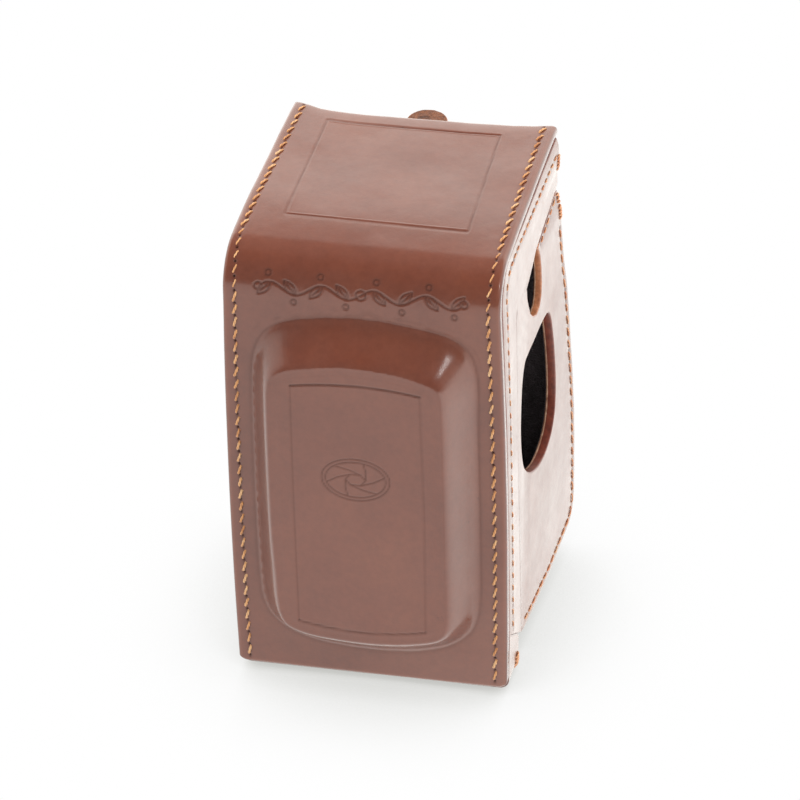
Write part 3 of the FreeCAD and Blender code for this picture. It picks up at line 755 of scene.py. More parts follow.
def front_sheet(x, s):
    """The sheet under the front-and-top leather, for flat places x across and s along."""
    side = np.abs(x)
    sag_share = 1 - np.clip(side / 40, 0, 1) ** 2
    # the lower corners are rounded by sliding the lowest rows up
    along = s + .85 * round_drop(HALF_WIDTH - side, CORNER_R) * np.clip(1 - s / 14.0, 0, 1)
    top_share = np.clip((along - TOP_START) / TOP_LEN, 0, 1)
    rear = lookup(x, REAR_LINE) + REAR_REACH * (SAG * sag_share + ROLL)
    rear = rear - .7 * (1 - np.sqrt(1 - np.clip((side - 42.4) / 2.7, 0, 1) ** 2))
    turned = np.clip(1 - (along - FRONT_FLAT) / TURN_LEN, 0, 1)
    half = np.where(along < FRONT_FLAT, half_width(along),
                    HALF_WIDTH + (half_width(FRONT_FLAT) - HALF_WIDTH) * turned
                    - np.where(x > 0, .1, 1.15) * top_share)
    across = x / HALF_WIDTH * half
    angle = np.interp(along, TRACK, TRACK_ANGLE)
    y = np.interp(along, TRACK, TRACK_Y) + (rear - TRACK_Y[-1]) * top_share
    y_top = TURN_R + (rear - TURN_R) * top_share
    hang = -SAG * sag_share * top_share ** 1.6 - ROLL * smoothstep((y_top - (rear - 8)) / 8) ** 2
    z = np.interp(along, TRACK, TRACK_Z) + np.where(along > TOP_START, hang, 0)
    height, foot = bulge(across, along)
    gap = np.minimum(HALF_WIDTH - side, np.minimum(s, LENGTH - s))
    return SimpleNamespace(
        points=np.column_stack([across, y, z]),
        normals=np.column_stack([np.zeros_like(x), -np.cos(angle), np.sin(angle)]),
        across=across, along=along, height=height, foot=foot, gap=gap,
        drop=round_drop(gap, 1.15 + .75 * smoothstep((along - FRONT_FLAT) / TURN_LEN)),
        wave=(.22 * value_noise(x, s, 34, 1) + .10 * value_noise(x, s, 13, 2)
              + .02 * value_noise(x, s, 4.5, 3)))


def front_inner(x, s, depth=0.0):
    """Points that deep behind the leather's inner face, and their outward normals."""
    sheet_ = front_sheet(x, s)
    offset = sheet_.height - FRONT_T + .35 * sheet_.drop - .3 * (sheet_.foot > 3) - depth
    return sheet_.points + sheet_.normals * (offset + sheet_.wave)[:, None], sheet_.normals


def front_outer(x, s):
    """Outer face without tooling: points and normals."""
    sheet_ = front_sheet(x, s)
    lift = sheet_.height + sheet_.wave - sheet_.drop
    return sheet_.points + sheet_.normals * lift[:, None], sheet_.normals


def front_tooled(x, s):
    """Outer face with tooling: points, painted hollow shade and rub values."""
    sheet_ = front_sheet(x, s)
    across, along, foot, gap = sheet_.across, sheet_.along, sheet_.foot, sheet_.gap
    side = np.abs(x)
    lift = sheet_.height + sheet_.wave
    # foot line around the bulge, with painted shade in its crease
    crease = bell(foot - .1, .42) * (foot > -4)
    lift -= .16 * crease
    hollow_shade = .20 * crease
    # fine wrinkles round the upper foot of the bulge, with painted shade in their troughs
    upper = smoothstep((along - 122) / 10) * (along < 146) * (np.abs(across) < 40)
    wrinkle = value_noise(across * .35 + 40, foot, 1.15, 41) * bell(foot + 1.2, 2.2) * upper
    lift += .10 * wrinkle
    hollow_shade += .10 * np.clip(-wrinkle, 0, 1)
    # tooled lines: relief, and their grooves drawn darker
    for lines, width, depth, lip, darkening, (x_from, x_to, s_from, s_to) in TOOLING:
        near = (side >= x_from) & (side < x_to) & (along > s_from) & (along < s_to)
        if near.any():
            relief, deep = groove(across[near], along[near], lines, width, depth, lip)
            lift[near] += relief
            hollow_shade[near] += deep * darkening
    # the rectangle on the top, its groove drawn darker in patches
    y_top = TURN_R + (along - TOP_START)
    near = (along > TOP_START) & (side < 33) & (y_top > 23) & (y_top < 89)
    if near.any():
        relief, deep = groove(across[near], y_top[near], [TOP_FRAME], .36, .20, .06)
        lift[near] += relief
        hollow_shade[near] += deep * .30 * (.55 + .45 * (value_noise(x[near], s[near], 9, 5) > -.2))
    # stitch channel and awl holes, with painted shade in both, and along the very edge
    from_seam = np.abs(side - seam_x(s))
    channel = bell(from_seam, .9)
    lift -= .09 * channel
    hollow_shade += .10 * channel * (from_seam < 2)
    pitches = (s - 2.6) / PITCH
    from_hole = np.abs(pitches - np.round(pitches)) * PITCH
    hole = bell(np.hypot(from_hole, from_seam), .36) * ((s > 2.0) & (s < LENGTH - 2.2))
    lift -= .55 * hole
    hollow_shade += 1.3 * hole + .35 * bell(gap, .35)
    lift -= sheet_.drop
    points = sheet_.points + sheet_.normals * lift[:, None]
    return points, np.clip(hollow_shade, 0, 1), np.clip(.5 * bell(gap - .9, .6), 0, 1)


def spans(*ranges):
    return np.concatenate([np.arange(*limits) for limits in ranges])


def build_front():
    rounding = np.array([0, .05, .16, .36, .65, 1.05, 1.5])
    # grid lines (from, to, step), closer where there is tooling
    half = np.concatenate([spans((0, 36.2, .5), (36.6, 40.0, .55), (40.2, 42.95, .28)),
                           HALF_WIDTH - rounding[::-1]])
    columns = np.unique(np.round(np.concatenate([-half, half]), 4))
    rows = np.concatenate([
        rounding,
        spans((2.2, 30, .62), (30.4, 75, .95), (75.4, 94, .38), (94.6, 116, .8),
              (116.4, 156, .42), (156.6, TOP_START + 2, .7), (TOP_START + 2.8, LENGTH - 1.9, 1.05)),
        TOP_START - TURN_R + spans((25.6, 27.5, .25), (84.6, 86.5, .25)),
        LENGTH - rounding[::-1]])
    rows = np.unique(np.round(rows, 4))
    rows = rows[np.concatenate([[True], np.diff(rows) > .045])]
    x, s = (grid.ravel() for grid in np.meshgrid(columns, rows))
    outer, hollow_shade, rub = front_tooled(x, s)
    outer_index = np.arange(len(outer)).reshape(len(rows), len(columns))
    # the inner face takes every fourth line and shares the ends
    column_picks = np.unique(np.append(np.arange(0, len(columns), 4), len(columns) - 1))
    row_picks = np.unique(np.append(np.arange(0, len(rows), 4), len(rows) - 1))
    inner_x, inner_s = np.meshgrid(columns[column_picks], rows[row_picks])
    inner, _ = front_inner(inner_x.ravel(), inner_s.ravel())
    inner_index = np.arange(len(inner)).reshape(inner_x.shape) + len(outer)

    outer_quads, inner_quads = grid_quads(outer_index), grid_quads(inner_index)[:, ::-1]
    rim = rim_faces(outer_index, inner_index, row_picks, column_picks)
    # painted edge colour only on the outermost rounding
    first, second, third = outer_quads[:, 0], outer_quads[:, 1], outer_quads[:, 2]
    painted = ((np.abs(x[first]) > 44.6) & (np.abs(x[second]) > 44.6)
               | (s[third] < .3) | (s[first] > LENGTH - .4))
    slots = np.where(painted, 1, 0).tolist() + [2] * len(inner_quads) + [1] * len(rim)
    return new_mesh("front_top_leather", np.concatenate([outer, inner]),
                    outer_quads.tolist() + inner_quads.tolist() + rim,
                    [LEATHER, GLOSS_EDGE, FLESH], slots, {"painted_hollow_shade": hollow_shade, "rub": rub})


def build_front_lining():
    x, s = np.meshgrid(np.linspace(-36.2, 36.2, 62), np.linspace(12.8, LENGTH - 2.2, 170))
    shape = x.shape
    x, s = x.ravel(), s.ravel()

    def layer(depth):
        points, normals = front_inner(x, s, depth)
        return points + normals * (.05 * value_noise(x, s, 3.2, 31))[:, None]

    index = np.arange(len(x)).reshape(shape)
    back = index + len(x)
    faces = grid_quads(index).tolist() + grid_quads(back)[:, ::-1].tolist()
    faces += rim_faces(index, back, range(shape[0]), range(shape[1]))
    return new_mesh("front_top_plush", np.concatenate([layer(.02), layer(.55)]), faces, [PLUSH])


# ---------------------------------------------------------------- cut sheets
def sheet(name, outline, holes, place, thickness, materials=HIDE, step=1.3, border=.7,
          rings=(.1, .3, .6, 1.0), round_out=.8, round_in=.35, relief=None, hollow_shade=None,
          raw_line=False):
    """A cut leather or cloth sheet: a flat outline with holes, carried by place(a, b) to points
    on the outer face and outward normals, with both cut edges rounded. border is the point
    spacing on the outlines, rings the offsets of the point rows beside them. raw_line puts
    material slot 3 on a line at the inner side of the rim. Also returns the flat places."""
    loops = [resample(loop, border) for loop in (outline, *holes)]
    corners = np.concatenate(loops)
    segments = corners, np.concatenate([np.roll(loop, -1, 0) for loop in loops])
    edges, first = [], 0
    for loop in loops:
        edges += [(first + i, first + (i + 1) % len(loop)) for i in range(len(loop))]
        first += len(loop)

    def on_sheet(points):
        keep = inside(points, loops[0])
        for loop in loops[1:]:
            keep &= ~inside(points, loop)
        return keep

    # points: the outlines, rows beside them, and a staggered grid between
    layers = [corners]

    def add_layer(points, clearance):
        points = points[on_sheet(points)]
        layers.append(points[distance(points, segments) > clearance])

    for loop in loops:
        for offset in rings:
            for sign in (-1, 1):
                add_layer(loop + loop_normals(loop) * offset * sign, offset * .93)
    low, high = corners.min(0), corners.max(0)
    add_layer(np.array([(x + (step / 2 if j % 2 else 0), y)
                        for j, y in enumerate(np.arange(low[1], high[1], step * .866))
                        for x in np.arange(low[0], high[0], step)]), rings[-1] + step * .45)
    result = delaunay_2d_cdt([Vector(point) for point in np.concatenate(layers).tolist()],
                             edges, [], 0, 1e-6)
    flat = np.array([(point.x, point.y) for point in result[0]])
    triangles = np.array([face for face in result[2] if len(face) == 3])
    triangles = triangles[on_sheet(flat[triangles].mean(1))]
    used, triangles = np.unique(triangles, return_inverse=True)
    flat, triangles = flat[used], triangles.reshape(-1, 3)

    def turn(points):
        start, second, third = (points[triangles[:, k]] for k in range(3))
        return np.cross(second - start, third - start)

    clockwise = turn(flat) < 0
    triangles[clockwise] = triangles[clockwise][:, ::-1]

    gap = distance(flat, segments)
    base, normals = place(*flat.T)
    lift = relief(*flat.T) if relief else 0.0
    depth = thickness(*flat.T) if callable(thickness) else thickness
    outer = base + normals * (lift - round_drop(gap, round_out))[:, None]
    inner = base - normals * (depth - round_drop(gap, round_in))[:, None]
    if (turn(base) * normals[triangles[:, 0]]).sum() < 0:
        triangles = triangles[:, ::-1]

    # the rim: two bands, split by a line between the faces
    count = len(flat)
    sides = np.concatenate([triangles[:, [0, 1]], triangles[:, [1, 2]], triangles[:, [2, 0]]])
    sides = dict.fromkeys(map(tuple, sides.tolist()))
    rim = [(a, b) for a, b in sides if (b, a) not in sides]
    rim_points = sorted({point for side in rim for point in side})
    middle = {point: 2 * count + i for i, point in enumerate(rim_points)}
    split = outer[rim_points] + (inner[rim_points] - outer[rim_points]) * (.84 if raw_line else .5)
    faces = triangles.tolist() + (triangles[:, ::-1] + count).tolist()
    painted = gap[triangles].max(1) < .42
    slots = np.where(painted, 1, 0).tolist() + [2] * len(triangles)
    for a, b in rim:
        faces += [[b, a, middle[a], middle[b]], [middle[b], middle[a], a + count, b + count]]
        slots += [1, 3 if raw_line else 1]

    # painted shade in the hollows, and along the cut edge
    dark = np.clip(hollow_shade(*flat.T), 0, 1) if hollow_shade else np.zeros(count)
    obj = new_mesh(name, np.concatenate([outer, inner, split]), faces, materials, slots,
                   {"painted_hollow_shade": np.clip(dark + .5 * bell(gap, .3), 0, 1),
                    "rub": .5 * bell(gap - .9, .6)})
    return obj, np.concatenate([flat, flat, flat[rim_points]])


def cloth(name, outline, holes, place, thickness, step=2.4, border=1.3, round_out=.1,
          round_in=.2):
    """A plush sheet."""
    return sheet(name, outline, holes, place, thickness, [PLUSH] * 3, step=step, border=border,
                 rings=(.25, .9), round_out=round_out, round_in=round_in)


# ---------------------------------------------------------------- side walls
# Flat places on a wall are y, z.
# rear edge of the wall: z, x
WALL_REAR = [(0, 49.2), (8.5, 49.6), (14.7, 49.6), (27, 49.8), (39.2, 49.9), (51.2, 49.8),
             (63.2, 49.6), (75.1, 49.1), (86.9, 48.6), (98.6, 47.9), (108, 47.0), (119, 46.4),
             (124.5, 46.2), (129, 46.0), (132.5, 45.4), (134, 45.1), (135.5, 45.0),
             (138.6, 45.2), (144, 45.2), (146, 45.6), (150.5, 45.8), (153, 45.7), (155, 45.3),
             (157.3, 44.7), (158.5, 43.9), (159.6, 43.2)]
KNOB_HOLE = smooth_loop([
    (70.3, 102.6), (61.4, 104.2), (51.5, 104.0), (43, 103.7), (37.0, 102.6), (33.0, 96.6),
    (30.8, 84.1), (31.1, 73.5), (34.2, 65.6), (40.0, 59.6), (47, 56.2), (54, 54.9),
    (61.4, 55.9), (67.9, 59.4), (72.0, 66), (73.8, 74.3), (73.9, 83.2), (73.0, 94.2)], 6)
NOTCH = [(58.6, 134.1), (42.9, 128.5), (43.5, 125.4), (44.5, 121.8), (47, 117), (50.8, 113.4),
         (55.0, 111.6), (59.0, 112.2), (61.8, 114.8), (63.1, 118.8), (63.3, 124.2),
         (62.6, 129), (61.4, 132.2), (60.2, 133.5)]
WALL_PLAY = .1                      # clearance inside the top
# the slit above the flap runs in from the rear edge to the notch
WALL = ([(FRONT_T + .12, 19.0)]
        + arc(TURN_R, FRONT_FLAT, TURN_R - FRONT_T - WALL_PLAY, 180, 90, 14)
        + [(93.6, HEIGHT - FRONT_T - WALL_PLAY), (93.9, 151), (94.0, 146), (94.0, 139),
           (93.5, 137.7), (92, 136.95), (83, 136.2), (73, 135.2), (66, 134.5), (62, 134.35)]
        + NOTCH
        + [(62.2, 133.8), (66, 134.0), (73, 134.7), (83, 135.7), (91, 136.4), (93.4, 136.1),
           (94.3, 134.8), (94.6, 132), (94.6, 122), (94.6, 19)]
        + arc(84.6, 17.5, 10.0, 0, -75, 8)
        + [(76, 6.4), (64, 4.9), (45, 4.4), (27, 4.4), (22, 7.4), (16.5, 10.8), (9, 15.6)])
# stitch rows
SEAM_ROW = ([(11.0, 16.5), (11.0, 142)] + arc(19.5, 143.0, 8.6, 180, 90, 8)
            + [(26, 151.8), (90.5, 151.0)])
FLAP_ROW = ([(30, 7.2), (45, 7.1), (62, 7.5), (76, 9.1)] + arc(84.0, 17.6, 7.6, -72, 0, 8)
            + [(91.7, 122.5)])
SLIT_ROW = [(90.0, 134.7), (83, 134.0), (73, 133.1), (65.0, 132.4)]
WALL_ROWS = (SEAM_ROW, FLAP_ROW, SLIT_ROW)
WALL_HOLES = hole_places(WALL_ROWS)
# fine ridge in front of the flap and over it
RIDGE = [(26.2, 6), (26.2, 128.5), (28, 130.4), (42.4, 130.0)]
# the flap's fold, a straight line leaning to the rear
FOLD_LOW = (26.0, 5.0)
FOLD_RUN, FOLD_RISE = 17.0, 124.5


def fold_y(z):
    return FOLD_LOW[0] + FOLD_RUN * (z - FOLD_LOW[1]) / FOLD_RISE


def wall_x(y, z):
    """Outer face of the right wall: follows the front's width, then flares behind the fold."""
    fold = fold_y(np.minimum(z, 129.5))
    fold = fold + (34.0 - fold) * smoothstep((z - 134) / 6)
    flare = (lookup(z, WALL_REAR) - HALF_WIDTH) * np.maximum(y - fold, 0) / (DEPTH - fold)
    flare = flare * (.55 + .45 * np.clip((y - fold) / 8.0, 0, 1))
    front = ((half_width(np.clip(z, 0, FRONT_FLAT)) - HALF_WIDTH)
             * (1 - smoothstep((y - 3) / 24)))
    return HALF_WIDTH + flare + front


def wall_t(y, z):
    """Wall thickness: the flap is thicker, as far up as the knob hole."""
    return (SIDE_T + .75 * smoothstep((y - fold_y(z) - 3) / 5)
            * (1 - smoothstep((z - 103) / 6)))


def wall_place(sign):
    def place(y, z):
        x = wall_x(y, z)
        if sign < 0:                # the left wall leans in at its upper rear
            x = x - (y / DEPTH) * smoothstep((z - 138) / 16)
        slope_y = (wall_x(y + .4, z) - wall_x(y - .4, z)) / .8
        slope_z = np.clip((wall_x(y, z + .05) - wall_x(y, z - .05)) / .1, -.2, .2)
        normals = np.column_stack([np.ones_like(x), -slope_y, -slope_z])
        normals /= np.linalg.norm(normals, axis=1)[:, None]
        side = np.array([sign, 1, 1])
        return np.column_stack([x, y, z]) * side, normals * side
    return place


def wall_lining_place(sign):
    def place(y, z):
        points, normals = wall_place(sign)(y, z)
        # 1 mm deeper in front of the flap and above it
        deeper = (y < 25.6) | (z > np.interp(y, [25, 28.5, 110], [128, 131.0, 139]))
        return points - normals * (wall_t(y, z) + .02 + 1.0 * deeper)[:, None], normals
    return place


def wall_relief(y, z):
    lift = .10 * value_noise(y, z, 30, 11) + .05 * value_noise(y, z, 11, 12)
    for row in WALL_ROWS:
        lift -= .16 * bell(line_distance(y, z, [row]), .8)
    lift -= .30 * bell(hole_distance(y, z, WALL_HOLES), .5)
    from_ridge = line_distance(y, z, [RIDGE])
    lift += .16 * bell(from_ridge, .55) - .10 * bell(from_ridge - 1.1, .6)
    # short wrinkles between the notch and the knob hole
    wrinkled = np.exp(-((y - 40) / 10) ** 2 - ((z - 118) / 9) ** 2)
    return lift + .12 * wrinkled * np.sin((y * .8 + z * .9) * 1.1)


def wall_hollow_shade(y, z):
    # painted shade in the stitch holes and along the stitch rows
    dark = .6 * bell(hole_distance(y, z, WALL_HOLES), .4)
    for row in WALL_ROWS:
        dark += .18 * bell(line_distance(y, z, [row]), .8)
    return dark


def build_wall(side, sign):
    def finish(obj, flat, slot, replaced):
        bend(obj)
        register(obj, None, [side + end for end in replaced])

    finish(*sheet(side + "_side_leather", WALL, [KNOB_HOLE], wall_place(sign), wall_t,
                  [SIDE_LEATHER, WALL_EDGE, FLESH, RAW_EDGE], step=1.25, round_out=.45,
                  relief=wall_relief, hollow_shade=wall_hollow_shade, raw_line=True),
           "case_leather", ["_side_panel", "_wing"])
    finish(*cloth(side + "_wall_lining", shrink(WALL, 1.3), [shrink(KNOB_HOLE, -1.2)],
                  wall_lining_place(sign), .5, step=2.2, border=1.1, round_out=.12),
           "black_plush", ["_side_lining", "_wing_lining"])


register(build_front(), "front_cover", ["front_top_panel"])
SIDES = (("right", 1), ("left", -1))
for side, sign in SIDES:
    build_wall(side, sign)
register(build_front_lining(), "front_cover", ["front_top_lining"])

# ---------------------------------------------------------------- sill under the front
# Flat places are the length across, measured round the lower corners, and y.
SILL_R = 3.0
SILL_FLAT = HALF_WIDTH - SILL_R
SILL_ARC = math.pi * SILL_R / 2


def sill_place(across, y):
    reach, sign = np.abs(across), np.sign(across)
    angle = np.clip((reach - SILL_FLAT) / SILL_R, 0, math.pi / 2)
    on_floor = reach < SILL_FLAT
    x = np.where(on_floor, reach, SILL_FLAT + SILL_R * np.sin(angle))
    z = (np.where(on_floor, BOTTOM_Z, BOTTOM_Z + SILL_R - SILL_R * np.cos(angle))
         + np.maximum(reach - SILL_FLAT - SILL_ARC, 0))
    widening = (half_width(np.clip(z, 0, 40)) - HALF_WIDTH) * np.sin(angle)
    normals = np.column_stack([sign * np.sin(angle), np.zeros_like(across), -np.cos(angle)])
    return np.column_stack([sign * (x + widening), y, z]), normals


def sill_across(z):
    """Length across at which the upright side reaches height z."""
    return SILL_FLAT + SILL_ARC + (z - (BOTTOM_Z + SILL_R))


# upper edge of the upright side (y, z), then on round the rear
SILL_SIDE = [(4.0, 18.95), (9, 15.75), (16.5, 11.0), (19.4, 9.1), (19.5, 2.5), (19.3, .6)]
SILL = mirrored([(sill_across(z), y) for y, z in SILL_SIDE]
                + [(SILL_FLAT + SILL_ARC * .5, 18.6), (SILL_FLAT - 2, 18.4)])
SILL += [(-sill_across(8), 4.0), (-SILL_FLAT, 3.7), (SILL_FLAT, 3.7), (sill_across(8), 4.0)]
sill, _ = sheet("sill_leather", SILL, [], sill_place, 2.3, [LEATHER, GLOSS_EDGE, FLESH],
                step=1.6, round_out=.25,
                relief=lambda across, y: .08 * value_noise(across, y, 14, 61))
register(sill, "front_cover", ["bottom_sill"])

# ---------------------------------------------------------------- rear half
# Flat places are x and the length along: rearward over the floor, round the bend, up the back.
REAR_HALF, REAR_Y, REAR_TOP = 41.2, 93.4, 152.0
REAR_T = 1.8
REAR_R = 10.0                       # bend from the floor into the back wall
REAR_FRONT = 22.2                   # y where its floor starts
REAR_FLOOR = (REAR_Y - REAR_R) - REAR_FRONT
REAR_ARC = math.pi * REAR_R / 2
SCREW_Y, SCREW_HOLE_R = 58.0, 11.6


def rear_place(depth):
    def place(x, along):
        angle = np.clip((along - REAR_FLOOR) / REAR_R, 0, math.pi / 2)
        up = np.maximum(along - REAR_FLOOR - REAR_ARC, 0)
        on_floor = along < REAR_FLOOR
        y = np.where(on_floor, REAR_FRONT + along, (REAR_Y - REAR_R) + REAR_R * np.sin(angle))
        z = np.where(on_floor, BOTTOM_Z, BOTTOM_Z + REAR_R - REAR_R * np.cos(angle)) + up
        normals = np.column_stack([np.zeros_like(x), np.sin(angle), -np.cos(angle)])
        # a used case: the back wall is bowed a little
        bow = -.5 * np.sin(np.clip(up / 140, 0, 1) * math.pi) * (1 - (x / 42) ** 2)
        return np.column_stack([x, y, z]) + normals * bow[:, None] - normals * depth, normals
    return place


def rear_along(z):
    """Length along at which the back wall reaches height z."""
    return REAR_FLOOR + REAR_ARC + (z - (BOTTOM_Z + REAR_R))


def rear_outline(margin, top):
    half = REAR_HALF - margin
    corner = 10
    # narrowing of the back wall: z, inset
    taper = [(80, 0), (90, .6), (102, 1.9), (112, 2.8), (top - corner, 2.8)]
    return mirrored([(half, 0)] + [(half - inset, rear_along(z)) for z, inset in taper]
                    + arc(half - 2.8 - corner, rear_along(top - corner), corner, 10, 90, 10))


def rear_points(points):
    return [(x, rear_along(z)) for x, z in points]


# stitch rows and tooled border on the back wall
REAR_ROWS = [rear_points([(sign * (REAR_HALF - inset), z)
                          for inset, z in ((3.5, 12), (3.5, 80), (6.3, 112), (6.3, 141))])
             for sign in (-1, 1)]
REAR_ROWS.append(rear_points([(-28, 148.6), (28, 148.6)]))
REAR_HOLES = hole_places(REAR_ROWS)
REAR_BORDER = rear_points([(-33, 12), (33, 12), (33, 76), (30, 104), (30, 143), (-30, 143),
                           (-30, 104), (-33, 76), (-33, 12)])


def rear_marks(x, along):
    """Nearness to the stitch holes and to the border line."""
    return (bell(hole_distance(x, along, REAR_HOLES), .5),
            bell(line_distance(x, along, [REAR_BORDER]), .45))


def rear_relief(x, along):
    hole, border = rear_marks(x, along)
    return (.16 * value_noise(x, along, 32, 71) + .07 * value_noise(x, along, 12, 72)
            - .16 * bell(line_distance(x, along, REAR_ROWS), .8) - .3 * hole - .24 * border)


def rear_hollow_shade(x, along):
    # painted shade in the stitch holes; the tooled border is drawn darker
    hole, border = rear_marks(x, along)
    return .9 * hole + .5 * border


def build_rear():
    hole_along = SCREW_Y - REAR_FRONT
    obj, _ = sheet("rear_leather", rear_outline(0, REAR_TOP),
                   [circle_hole(hole_along, SCREW_HOLE_R)], rear_place(0), REAR_T, step=1.5,
                   round_out=.6, round_in=.3, relief=rear_relief, hollow_shade=rear_hollow_shade)
    register(obj, "rear_half", ["rear_panel"])
    outline = [(x, max(along, 1.0)) for x, along in rear_outline(.35, REAR_TOP - .6)]
    obj, _ = cloth("rear_plush", outline, [circle_hole(hole_along, 15.3)],
                   rear_place(REAR_T + .02), .5)
    register(obj, "rear_half", ["rear_lining"])


build_rear()

# gussets, upright at both sides of the rear half: y, z
GUSSET_PLAY = .6
GUSSET = ([(27.6, BOTTOM_Z + REAR_T), (27.6, 7), (30, 13), (36, 19.5), (46, 24.5), (58, 27.4),
           (70, 28), (REAR_Y - REAR_T - GUSSET_PLAY, 28)]
          + arc(REAR_Y - REAR_R, BOTTOM_Z + REAR_R, REAR_R - REAR_T - GUSSET_PLAY, 0, -90, 8))


def gusset_place(sign, inset):
    def place(y, z):
        normals = np.tile([sign, 0, 0], (len(y), 1)).astype(float)
        return np.column_stack([np.full_like(y, sign * (REAR_HALF - inset)), y, z]), normals
    return place


for side, sign in SIDES:
    gusset, _ = sheet(side + "_gusset_leather", GUSSET, [], gusset_place(sign, 0.0),
                      REAR_T - .2, step=1.8, round_out=.5, round_in=.2,
                      relief=lambda y, z: .05 * value_noise(y, z, 12, 81))
    register(gusset, "rear_half", [side + "_rear_gusset"])
    gusset, _ = cloth(side + "_gusset_plush", shrink(GUSSET, .7), [],
                      gusset_place(sign, REAR_T - .18), .45, round_in=.15)
    register(gusset, "rear_half", [side + "_gusset_lining"])

# ---------------------------------------------------------------- outer sole and hinge strip
# One leather under the floor, creased along the hinge line: x, y.
SOLE_Z = BOTTOM_Z - 1.2
HINGE_Y = 21.0
SOLE_ROW = rounded_box(30.4, 24.2, 81.4, 2.0, 4.0)
SOLE_ROW.append(SOLE_ROW[0])
STRIP_ROW = [(-30.4, 17.8), (-30.4, 9.6), (30.4, 9.6), (30.4, 17.8)]


def sole_place(x, y):
    return np.column_stack([x, y, np.full_like(x, SOLE_Z)]), np.tile([0, 0, -1.0], (len(x), 1))


def sole_relief(x, y):
    return (-.03 - .1 * bell(line_distance(x, y, [SOLE_ROW, STRIP_ROW]), .8)
            - .12 * bell(y - HINGE_Y, .8))


sole, _ = sheet("sole_leather", rounded_box(33, 7.0, 84.0, 4.0, 6.0),
                [circle_hole(SCREW_Y, SCREW_HOLE_R)], sole_place, 1.18, step=1.6,
                round_out=.45, round_in=.2, relief=sole_relief)
bend(sole)
register(sole, None, ["hinge_strip", "base_sole"])

# ---------------------------------------------------------------- closure tab, flesh side up
TAB_HALF = 13.7 / 2
ROOT_HALF = TAB_HALF + 2
TAB_TIP, TAB_BEND, STUD_Y = 107.7, 93.5, 84.3
TAB = ([(-ROOT_HALF, STUD_Y - 6.8), (ROOT_HALF, STUD_Y - 6.8), (ROOT_HALF, 90),
        (TAB_HALF, 93.2)]
       + arc(0, TAB_TIP - TAB_HALF, TAB_HALF, 0, 180, 24)
       + [(-TAB_HALF, 93.2), (-ROOT_HALF, 90)])


def tab_place(x, y):
    past = np.maximum(y - TAB_BEND, 0)
    z = 153.6 + .01 * past - .0005 * past * past + .25 * np.cos(x / 4.2) - .25
    return np.column_stack([x, y, z]), np.tile([0, 0, 1.0], (len(x), 1))


def leg_place(x, z):
    y = np.full_like(x, REAR_Y - REAR_T - .6)
    return np.column_stack([x, y, z]), np.tile([0, 1.0, 0], (len(x), 1))


tab, _ = sheet("closure_tab_leather", TAB, [circle_hole(STUD_Y, 4.02, 40)], tab_place, 1.4,
               [SHADED_TAB_FLESH, TAN_EDGE, LEATHER], step=.7, border=.45, round_out=.35, round_in=.3,
               relief=lambda x, y: (.09 * value_noise(x, y, 1.6, 91)
                                    + .06 * value_noise(x, y, .7, 92)))
bend(tab)
register(tab, None, ["closure_tab", "closure_tab_root"])
# its leg, down the inside of the back wall
leg, _ = sheet("closure_tab_leg", rounded_box(ROOT_HALF, 138.0, 152.1, 3.0, .5), [], leg_place,
               1.3, [FLESH, TAN_EDGE, LEATHER], step=1.2, round_out=.2, round_in=.4)
register(leg, "rear_half")

# ---------------------------------------------------------------- thread
STITCH_RINGS, STITCH_SIDES = 13, 10


def stitch(point, heading, normal, length, radius, slant, height, seed):
    """A two-ply stitch whose ends dive into the leather: points, faces and ply values, which paint
    shade between the plies and at the ends. slant is in degrees from the heading, height is how far
    the middle stands up."""
    heading, normal = np.asarray(heading, float), np.asarray(normal, float)
    heading = heading / np.linalg.norm(heading)
    normal = normal / np.linalg.norm(normal)
    angle = math.radians(slant)
    lie = heading * math.cos(angle) + np.cross(normal, heading) * math.sin(angle)
    across = np.cross(normal, lie)
    rng = np.random.default_rng(seed)
    length = length * rng.uniform(.94, 1.06)
    radius = radius * rng.uniform(.92, 1.08)
    phase = rng.uniform(0, 6.28)
    drift = rng.uniform(-.12, .12)

    t = np.linspace(-1, 1, STITCH_RINGS)[:, None, None]
    out = np.abs(t)
    around = (2 * math.pi * np.arange(STITCH_SIDES) / STITCH_SIDES)[None, :, None]
    lobe = np.cos(2 * around + 8.32 * t + phase)
    center = (point + lie * (t * length / 2) + across * (drift * t)
              + normal * (height * (1 - out ** 2.6) - .75 * out ** 5))
    thick = radius * (1 - .35 * out ** 4) * (1 + .17 * lobe)
    ring = across * np.cos(around) * 1.12 + normal * np.sin(around) * .88
    # ply: painted shade in the grooves between the plies and at the diving ends
    ply = np.maximum(0.0, -lobe) * .9 + .5 * out ** 6

    index = np.arange(STITCH_RINGS * STITCH_SIDES).reshape(STITCH_RINGS, STITCH_SIDES)
    following = np.roll(index, -1, 1)
    quads = np.stack([index[:-1], following[:-1], following[1:], index[1:]], -1)
    faces = quads.reshape(-1, 4).tolist() + [index[0, ::-1].tolist(), index[-1].tolist()]
    return (center + ring * thick).reshape(-1, 3), faces, ply.ravel()


def build_thread(name, stitches, body, replaced, material=BRIGHTENED_THREAD):
    points, faces, plies = [], [], []
    name_seed = sum(ord(c) * (k + 3) for k, c in enumerate(name)) * 131
    for i, values in enumerate(stitches):
        some, some_faces, ply = stitch(*values, seed=(name_seed + i * 7919) % (2 ** 31))
        first = i * STITCH_RINGS * STITCH_SIDES
        points.append(some)
        faces += [[first + corner for corner in face] for face in some_faces]
        plies.append(ply)
    obj = new_mesh(name, np.concatenate(points), faces, [material],
                   attributes={"ply": np.clip(np.concatenate(plies), 0, 1)})
    register(obj, body, [replaced])


